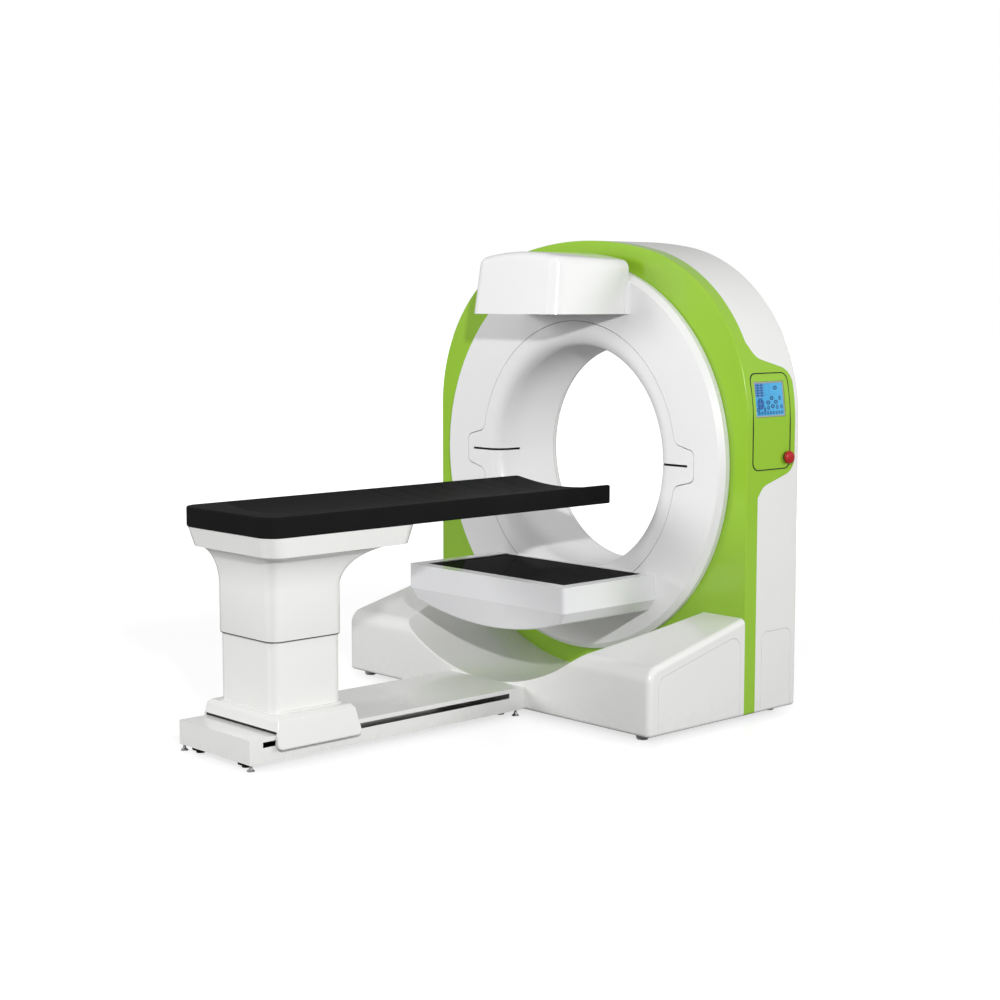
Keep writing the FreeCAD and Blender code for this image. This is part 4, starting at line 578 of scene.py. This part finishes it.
rear_white, scuff_grey, scuff_high = (0.78, 0.78, 0.765), (0.6, 0.59, 0.57), 0.16
scuffs = (scuff_high, scuff_grey)
sprayed("rear_gloss", rear_white, roughness=0.22, grime=scuffs).dress(
    nodes["rear_housing"], nodes["rear_hatch_right"], nodes["rear_hatch_left"],
    nodes["rear_cover"], nodes["rear_trim"])
sprayed("plinth_gloss", rear_white, roughness=0.22, grime=scuffs).dress(
    nodes["plinth_cover"], nodes["foot_hatch_right"], nodes["foot_hatch_left"])

# ---------------------------------------------------------------- the rear cover's fasteners
# Zinc-plated quarter-turn fasteners hold the rear cover to the shell: four up each side, one on
# each shoulder and two near the crown. Each has a slotted dish in a low collar.

zinc_grey, lathe_axis = (0.52, 0.52, 0.5), (0, 0)
zinc = turned("fastener_zinc", zinc_grey, lathe_axis, roughness=0.26)
cover_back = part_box("rear_cover")[1].y
collar_sink, collar_radius, collar_steps = 0.0004, 0.0100, 20
# (radius, height over the cover) from the hidden foot over the collar and into the dish
collar_profile = ((0, -0.002), (collar_radius, -0.002), (collar_radius, -0.0002), (0.0085, 0.0004),
                  (0.0072, 0.0004), (0.0066, -0.0004), (0, -0.0010))
slot_half, slot_round, slot_low, slot_high = (0.0011, 0.0058), 0.0008, -0.0012, -0.0002
slot_turn = Matrix.Rotation(math.radians(45), 4, "Z")
edge_x, edge_heights = 0.80, (0.10, 0.46, 0.82, 1.18)
shoulder_spot, crown_spot = (0.66, 1.60), (0.26, 1.86)
fastener_spots = [(side * edge_x, z) for side in (-1, 1) for z in edge_heights]
for x, z in (shoulder_spot, crown_spot):
    fastener_spots += [(-x, z), (x, z)]
fasteners = []
for x, z in fastener_spots:
    seat = Matrix.Translation((x, cover_back - collar_sink, z)) @ Matrix.Rotation(-math.pi / 2, 4, "X")
    fasteners.append(turned_shape(collar_profile, seat, collar_steps))
    fasteners.append(plate_shape(*slot_half, slot_round, slot_low, slot_high, 0, seat @ slot_turn))
piece("cover_fasteners", "gantry", fasteners, zinc)

# ---------------------------------------------------------------- the couch rail
# A bent and sprayed sheet cover on the floor, with a slot along each side for the carriage. It
# hides two milled steel guide rails.

grime_high, grime_grey, rail_steel = 0.07, (0.55, 0.54, 0.52), (0.42, 0.42, 0.43)
rail_grime = (grime_high, grime_grey)
sprayed("rail_gloss", rear_white, roughness=0.24, grime=rail_grime).dress(nodes["couch_rail"])
milled("rail_steel", rail_steel, roughness=0.24, along=along_y).dress(nodes["guide_rails"])

# ---------------------------------------------------------------- the rail's screw feet
# Four turned and chromed levelling feet, each a bell-shaped sole with a threaded stem and a nut,
# screwed up into the corners of the rail.

chrome_grey, chrome_bright = (0.62, 0.62, 0.63), (0.74, 0.74, 0.75)
chrome = Finish("foot_chrome", Metallic=1.0)
haze = chrome.noise(size=0.01, detail=4.0)
chrome.set(Base_Color=haze.mix(chrome_grey, chrome_bright))
chrome.set(Roughness=0.08 + haze * 0.1)
screw_low, screw_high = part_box("screw_feet")
screw_radius, rail_low = 0.015, screw_high.z
nut_radius, nut_high, nut_sides = 0.0085, 0.0035, 6
thread_crest, thread_root, thread_low, half_pitch, half_turns = 0.0046, 0.0038, 0.0170, 0.0006, 13
# (radius, height) up the sole, the bell, the neck, the thread and into the rail
bell_profile = [(0, 0), (0.0135, 0), (screw_radius, 0.0012), (screw_radius, 0.0035),
                (0.0138, 0.0045), (0.0095, 0.0075), (0.0065, 0.0115), (0.0055, 0.0145),
                (0.0068, 0.0152), (0.0068, 0.0166)]
bell_profile += [(thread_crest if i % 2 else thread_root, thread_low + half_pitch * i)
                 for i in range(half_turns)]
bell_profile += [(0.0042, rail_low), (0, rail_low)]
nut_profile = ((0, rail_low - nut_high), (nut_radius, rail_low - nut_high), (nut_radius, rail_low),
               (0, rail_low))
bells = []
for spot in corner_spots(screw_low, screw_high, screw_radius):
    bells.append(turned_shape(bell_profile, spot))
    bells.append(turned_shape(nut_profile, spot, nut_sides))
piece("chrome_feet", "gantry", bells, chrome, ("screw_feet",))

# ---------------------------------------------------------------- the rail's bearing pads
# Four moulded black rubber pads with a waist, under the rail beside its screw feet, which take the
# load once the rail is level.

pad_low, pad_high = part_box("rail_pads")
pad_radius, waist_radius, pad_rim = 0.033, 0.018, 0.0315
# (radius, height) up the sole, the waist and the broad head
pad_profile = ((0, 0), (0.017, 0), (waist_radius, 0.001), (waist_radius, 0.008), (0.024, 0.0105),
               (pad_rim, 0.0120), (pad_radius, 0.0135), (pad_radius, rail_low - 0.003),
               (pad_rim, rail_low), (0, rail_low))
pads = [turned_shape(pad_profile, spot) for spot in corner_spots(pad_low, pad_high, pad_radius)]
piece("bearing_pads", "gantry", pads, rubber, ("rail_pads",))

# ---------------------------------------------------------------- the carriage
# A thick steel plate on four guide blocks, hidden by the saddle that straddles the rail. A brake
# with a rubber shoe holds it.

block_grey, carriage_grey = (0.45, 0.45, 0.46), (0.05, 0.05, 0.055)
block_steel = milled("block_steel", block_grey, roughness=0.25, along=along_y)
block_steel.dress(nodes["guide_blocks"])
powder_coat("carriage_powder", carriage_grey).dress(nodes["carriage_plate"])
rubber.dress(nodes["rail_brake"])

# ---------------------------------------------------------------- the saddle
# A sprayed shell over the carriage, bent along each side and drawn in towards its roof. Its two
# flaps hang astride the rail, with an arch between them, and their free corners are round.

couch_white = (0.80, 0.80, 0.785)
saddle_low, saddle_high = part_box("saddle_cover")
saddle_middle = (saddle_low + saddle_high) / 2
arch_half, arch_z, bend_z, top_z = 0.2375, 0.133, 0.172, 0.187
reaches = {saddle_low.z: 0.204, arch_z: 0.1926, bend_z: 0.186, top_z: 0.178}  # half lengths by height
halves = {saddle_low.z: 0.262, bend_z: 0.238, top_z: 0.220}  # half widths by height
lean = (halves[saddle_low.z] - halves[bend_z]) / (bend_z - saddle_low.z)
flap_round, end_round, bend_round, roof_round = 0.026, 0.0062, 0.005, 0.004
loose, tight = 0.001, 0.0004  # how near a height or a side a point counts as on it
steep = 0.5  # the cosine above which an edge counts as running upwards
broad_face, face_border = 0.002, 0.0008


def soften(shape, radius, segments, wanted):
    """Rounds the edges for which wanted(middle, direction) is true."""
    edges = []
    for edge in shape.edges:
        first, second = edge.verts[0].co, edge.verts[1].co
        if wanted((first + second) / 2, (second - first).normalized()):
            edges.append(edge)
    round_off(shape, edges, radius, segments)


def on_flap(middle):
    """True on the rim of a leaning side, below the bend."""
    side = halves[saddle_low.z] - (middle.z - saddle_low.z) * lean
    return abs(abs(middle.x) - side) < tight and middle.z < bend_z - loose


section = [(side * half, z) for side in (-1, 1)
           for z, half in sorted(halves.items(), reverse=side > 0)]
section += [(side * arch_half, z) for side, z in ((1, saddle_low.z), (1, arch_z), (-1, arch_z),
                                                  (-1, saddle_low.z))]
saddle = bmesh.new()
outline = saddle.faces.new([saddle.verts.new((x, 0, z)) for x, z in section])
pull(saddle, [outline], (0, 1, 0))
for vertex in saddle.verts:
    reach = min(reaches.items(), key=lambda level: abs(level[0] - vertex.co.z))[1]
    vertex.co.y = saddle_middle.y + (reach if vertex.co.y > 0 else -reach)
for way in (-1, 1):
    bends = [v for v in saddle.verts
             if abs(v.co.z - bend_z) < loose and (v.co.y - saddle_middle.y) * way > 0]
    bmesh.ops.connect_vert_pair(saddle, verts=bends)
soften(saddle, flap_round, 8, lambda m, d: abs(d.x) > squarely and m.z < saddle_low.z + loose)
soften(saddle, end_round, 4, lambda m, d: on_flap(m) or (m.z > bend_z + loose and abs(d.z) > steep))
soften(saddle, bend_round, 3, lambda m, d: abs(m.z - bend_z) < tight)
soften(saddle, roof_round, 3, lambda m, d: m.z > top_z - tight)
bmesh.ops.recalc_face_normals(saddle, faces=saddle.faces)
flat_faces = [f for f in saddle.faces if f.calc_area() > broad_face]
bmesh.ops.inset_individual(saddle, faces=flat_faces, thickness=face_border, use_even_offset=True)
# Painted shade: the saddle's paint is the couch white darkened, for the dimmer light on it.
saddle_shaded_paint = sprayed("saddle_gloss", shade(couch_white, 0.94), roughness=0.2)
piece("saddle_shell", "carriage", [saddle], saddle_shaded_paint, ("saddle_cover",), sharp=40)

# ---------------------------------------------------------------- the rim round the column's foot
# A low sprayed collar with a round edge, glued to the saddle's roof. It hides the joint between
# the saddle and the column.

column_half, column_place = Vector((0.1815, 0.1645)), Matrix.Translation((0, saddle_middle.y, 0))
collar_wide, collar_deep = 0.013, 0.012
collar_half = (column_half.x + collar_wide, column_half.y + collar_deep)
collar_round, collar_low, collar_high, collar_edge = 0.052, 0.185, 0.1915, 0.003
column_collar = plate_shape(*collar_half, collar_round, collar_low, collar_high, collar_edge,
                            column_place)
# The collar takes the saddle's darkened paint, which is painted shade.
piece("column_rim", "carriage", [column_collar], saddle_shaded_paint)

# ---------------------------------------------------------------- the rail wipers
# Two black rubber strips let into the arch just inside the saddle's ends, which brush the top of
# the rail as the carriage rolls.
# Their black also stands for the shade under the arch: partly real wipers, partly painted shade.

wiper_half, wiper_round, wiper_y = (0.236, 0.002), 0.001, 0.186
wiper_low, wiper_high = 0.1225, 0.146
wipers_and_shade = [plate_shape(*wiper_half, wiper_round, wiper_low, wiper_high, 0,
                      Matrix.Translation((0, saddle_middle.y + y, 0))) for y in (-wiper_y, wiper_y)]
piece("rail_wipers", "carriage", wipers_and_shade, rubber)

# ---------------------------------------------------------------- the column, the lift and the tub
# The lower column stands on the saddle, and the lift's cylinder and chromed rod inside it raise the
# sleeve and the tub, which holds the cross rails. Column and tub are sprayed white.

column_paint = sprayed("column_gloss", couch_white, roughness=0.18)
column_paint.dress(nodes["lower_column"], nodes["couch_tub"])
milled("lift_aluminium", aluminium, roughness=0.3, along=along_z).dress(nodes["lift_cylinder"])
chrome.dress(nodes["lift_rod"])
block_steel.dress(nodes["cross_rails"])

# ---------------------------------------------------------------- the sleeve's wiper
# A flat black rubber ring clipped into the mouth of the upper sleeve, which wipes the lower column
# as the couch rises and sinks.
# Its black also stands for the shade under the sleeve: partly a real wiper, partly painted shade.

sleeve_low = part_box("flared_sleeve")[0].z
lip_half, lip_round, lip_wide, lip_drop, lip_hidden = (0.1885, 0.1715), 0.0485, 0.0062, 0.0028, 0.001
lip = plate_shape(*lip_half, lip_round, sleeve_low - lip_drop, sleeve_low + lip_hidden, 0,
                  column_place)
for axis in (up, -up):
    mouth = top_of(lip, axis)
    bmesh.ops.inset_region(lip, faces=[mouth], thickness=lip_wide)
    bmesh.ops.delete(lip, geom=[mouth], context="FACES")
bmesh.ops.bridge_loops(lip, edges=[e for e in lip.edges if e.is_boundary])
piece("sleeve_wiper_and_shade", "lift", [lip], rubber)

# ---------------------------------------------------------------- the flared sleeve
# One sprayed shell that slides over the lower column. It runs straight up, then flares on quarter
# arcs into the tub: far out towards the gantry, less at the flanks, and least at the couch's end.

sleeve_half, sleeve_round, round_growth = Vector((0.190, 0.173)), 0.050, 0.012
flare_low, flare_high, flare_steps = 0.645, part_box("flared_sleeve")[1].z, 20
gantry_flare, flank_flare, end_flare = 0.269, 0.082, 0.050
mouth_round, wall, roof = 0.002, 0.005, 0.007
sleeve = plate_shape(*sleeve_half, sleeve_round, sleeve_low, flare_high)
slice_across(sleeve, [flare_low + (flare_high - flare_low) * math.sin(math.pi / 2 * step / flare_steps)
                      for step in range(flare_steps)])
for vertex in sleeve.verts:
    way_x, way_y = math.copysign(1, vertex.co.x), math.copysign(1, vertex.co.y)
    rise = max(vertex.co.z - flare_low, 0) / (flare_high - flare_low)
    out = 1 - math.sqrt(max(1 - rise * rise, 0))
    flare = Vector((flank_flare, gantry_flare if way_y > 0 else end_flare))
    corner = Vector((way_x * (sleeve_half.x - sleeve_round), way_y * (sleeve_half.y - sleeve_round)))
    shift = Vector((way_x * (flare.x - round_growth), way_y * (flare.y - round_growth)))
    round_part = (vertex.co.xy - corner) * (1 + round_growth * out / sleeve_round)
    vertex.co.xy = corner + shift * out + round_part
mouth_rim = [e for e in sleeve.edges if max(v.co.z for v in e.verts) < sleeve_low + hair]
round_off(sleeve, mouth_rim, mouth_round, segments=3)
sleeve.normal_update()
opening = top_of(sleeve, -up)
bmesh.ops.inset_region(sleeve, faces=[opening], thickness=wall)
pull(sleeve, [opening], (0, 0, flare_high - roof - sleeve_low))
bmesh.ops.delete(sleeve, geom=[opening], context="FACES_ONLY")
bmesh.ops.transform(sleeve, matrix=column_place, verts=sleeve.verts)
piece("sleeve_shell", "lift", [sleeve], column_paint, ("flared_sleeve",), sharp=40)

# ---------------------------------------------------------------- the couch top
# A long tray of carbon laminate under a matt black skin, dished towards the gantry, with grooves
# across it where pads and fixings are indexed. It slides sideways on aluminium runners.
# The grooves are not cut: painted shade, lines darker than the skin, with no depth.

laminate = Finish("carbon_skin", IOR=1.5, Specular_IOR_Level=0.02)
tow = 0.0021
warp = (laminate.x * (math.pi / tow)).through("SINE")
weft = (laminate.y * (math.pi / tow)).through("SINE")
cloth = (warp * weft).ramp(-0.6, 0.6)
worn = laminate.noise(size=0.12, detail=5.0)
first_groove, groove_pitch, groove_count, plain_border = -0.150, 0.118, 7, 0.012
phase = (laminate.y - first_groove) / groove_pitch
off = (phase - phase.through("ROUND")).through("ABSOLUTE")
groove_shade_mask = off.ramp(0.035, 0.018) * phase.between(0.5 - groove_count, 0.5, 0.01)
top_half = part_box("couch_top")[1].x - plain_border
groove_shade_mask = groove_shade_mask * laminate.x.between(-top_half, top_half, 0.004)
skin_black, worn_black = (0.0085, 0.0085, 0.009), (0.0125, 0.0125, 0.013)
groove_shade = (0.0015, 0.0015, 0.0016)
laminate.set(Base_Color=(groove_shade_mask * 0.85).mix(worn.mix(skin_black, worn_black), groove_shade))
laminate.set(Roughness=0.52 + worn * 0.12)
laminate.set(Normal=laminate.bump(cloth, depth=0.000015))
laminate.dress(nodes["couch_top"])
milled("runner_aluminium", aluminium, roughness=0.3, along=along_x).dress(nodes["top_runners"])

# ---------------------------------------------------------------- the floor, lamps and world
# A white studio floor in an even pale world, a small key disc above the camera, broad discs at the
# front left, at the right flank and behind, and a square overhead. The floor's glow and the world's
# full white are for the picture alone, and light nothing.


def ray_kind(wire, name):
    """1 for rays of one kind, such as those that come straight from the camera."""
    path = wire.node("LightPath").socket.node.outputs
    return Wire(wire.tree, path["Is %s Ray" % name])


floor_half = 60
floor_shape = bmesh.new()
bmesh.ops.create_grid(floor_shape, x_segments=4, y_segments=4, size=floor_half)
floor_mesh = bpy.data.meshes.new("studio_floor")
floor_shape.to_mesh(floor_mesh)
floor_shape.free()
studio_floor = bpy.data.objects.new("studio_floor", floor_mesh)
bpy.context.scene.collection.objects.link(studio_floor)

floor_grey, floor_pale = (0.29, 0.29, 0.29), (0.31, 0.31, 0.31)
near_glow, added_glow, glow_start, glow_end = 0.72, 0.34, 3.0, 7.0
lino = Finish("studio_floor", IOR=1.45, Specular_IOR_Level=0.3)
lino.dress(studio_floor)
mottle = lino.noise(size=0.6, detail=4.0)
lino.set(Base_Color=mottle.mix(floor_grey, floor_pale), Roughness=0.3 + mottle * 0.08)
distance = (lino.x * lino.x + lino.y * lino.y).through("SQRT")
floor_glow = near_glow + distance.ramp(glow_start, glow_end) * added_glow
lino.set(Emission_Color=(1, 1, 1, 1), Emission_Strength=ray_kind(lino, "Camera") * floor_glow)

pale_light, mirror_light = 0.27, 0.2
world = bpy.data.worlds.new("studio_world")
world.use_nodes = True
bpy.context.scene.world = world
air = Wire(world.node_tree)
sky = world.node_tree.nodes["Background"]
sky.inputs["Color"].default_value = (1, 1, 1, 1)
white = ray_kind(air, "Camera").larger(ray_kind(air, "Transmission"))
glow = pale_light + white * (1 - pale_light) + ray_kind(air, "Glossy") * mirror_light
world.node_tree.links.new(glow.socket, sky.inputs["Strength"])


def lamp(name, power, place, aim, width, shape="DISK", glossy=False):
    """A lamp at place that points at aim. Metal and gloss mirror it only where glossy is true."""
    light = bpy.data.lights.new(name, "AREA")
    light.energy = power
    light.shape = shape
    light.size = width
    holder = bpy.data.objects.new(name, light)
    holder.location = place
    holder.rotation_mode = "QUATERNION"
    holder.rotation_quaternion = (Vector(aim) - Vector(place)).to_track_quat("-Z", "Y")
    holder.visible_glossy = glossy
    bpy.context.scene.collection.objects.link(holder)


lamp("key_lamp", 230, place=(4.7, -4.15, 2.9), aim=(0, -0.4, 0.9), width=0.22, glossy=True)
lamp("front_lamp", 330, place=(-4.6, -7.0, 3.0), aim=(0, -0.5, 0.8), width=3.5)
lamp("side_lamp", 210, place=(6.5, 3.5, 2.6), aim=(0.5, -0.3, 0.8), width=3)
lamp("back_lamp", 190, place=(-3.0, 8.0, 3.0), aim=(0, 0.3, 0.9), width=4)
lamp("top_lamp", 40, place=(0.5, -1.5, 5.0), aim=(0, -0.4, 0), width=4, shape="SQUARE")

bpy.context.scene.view_settings.view_transform = "Standard"
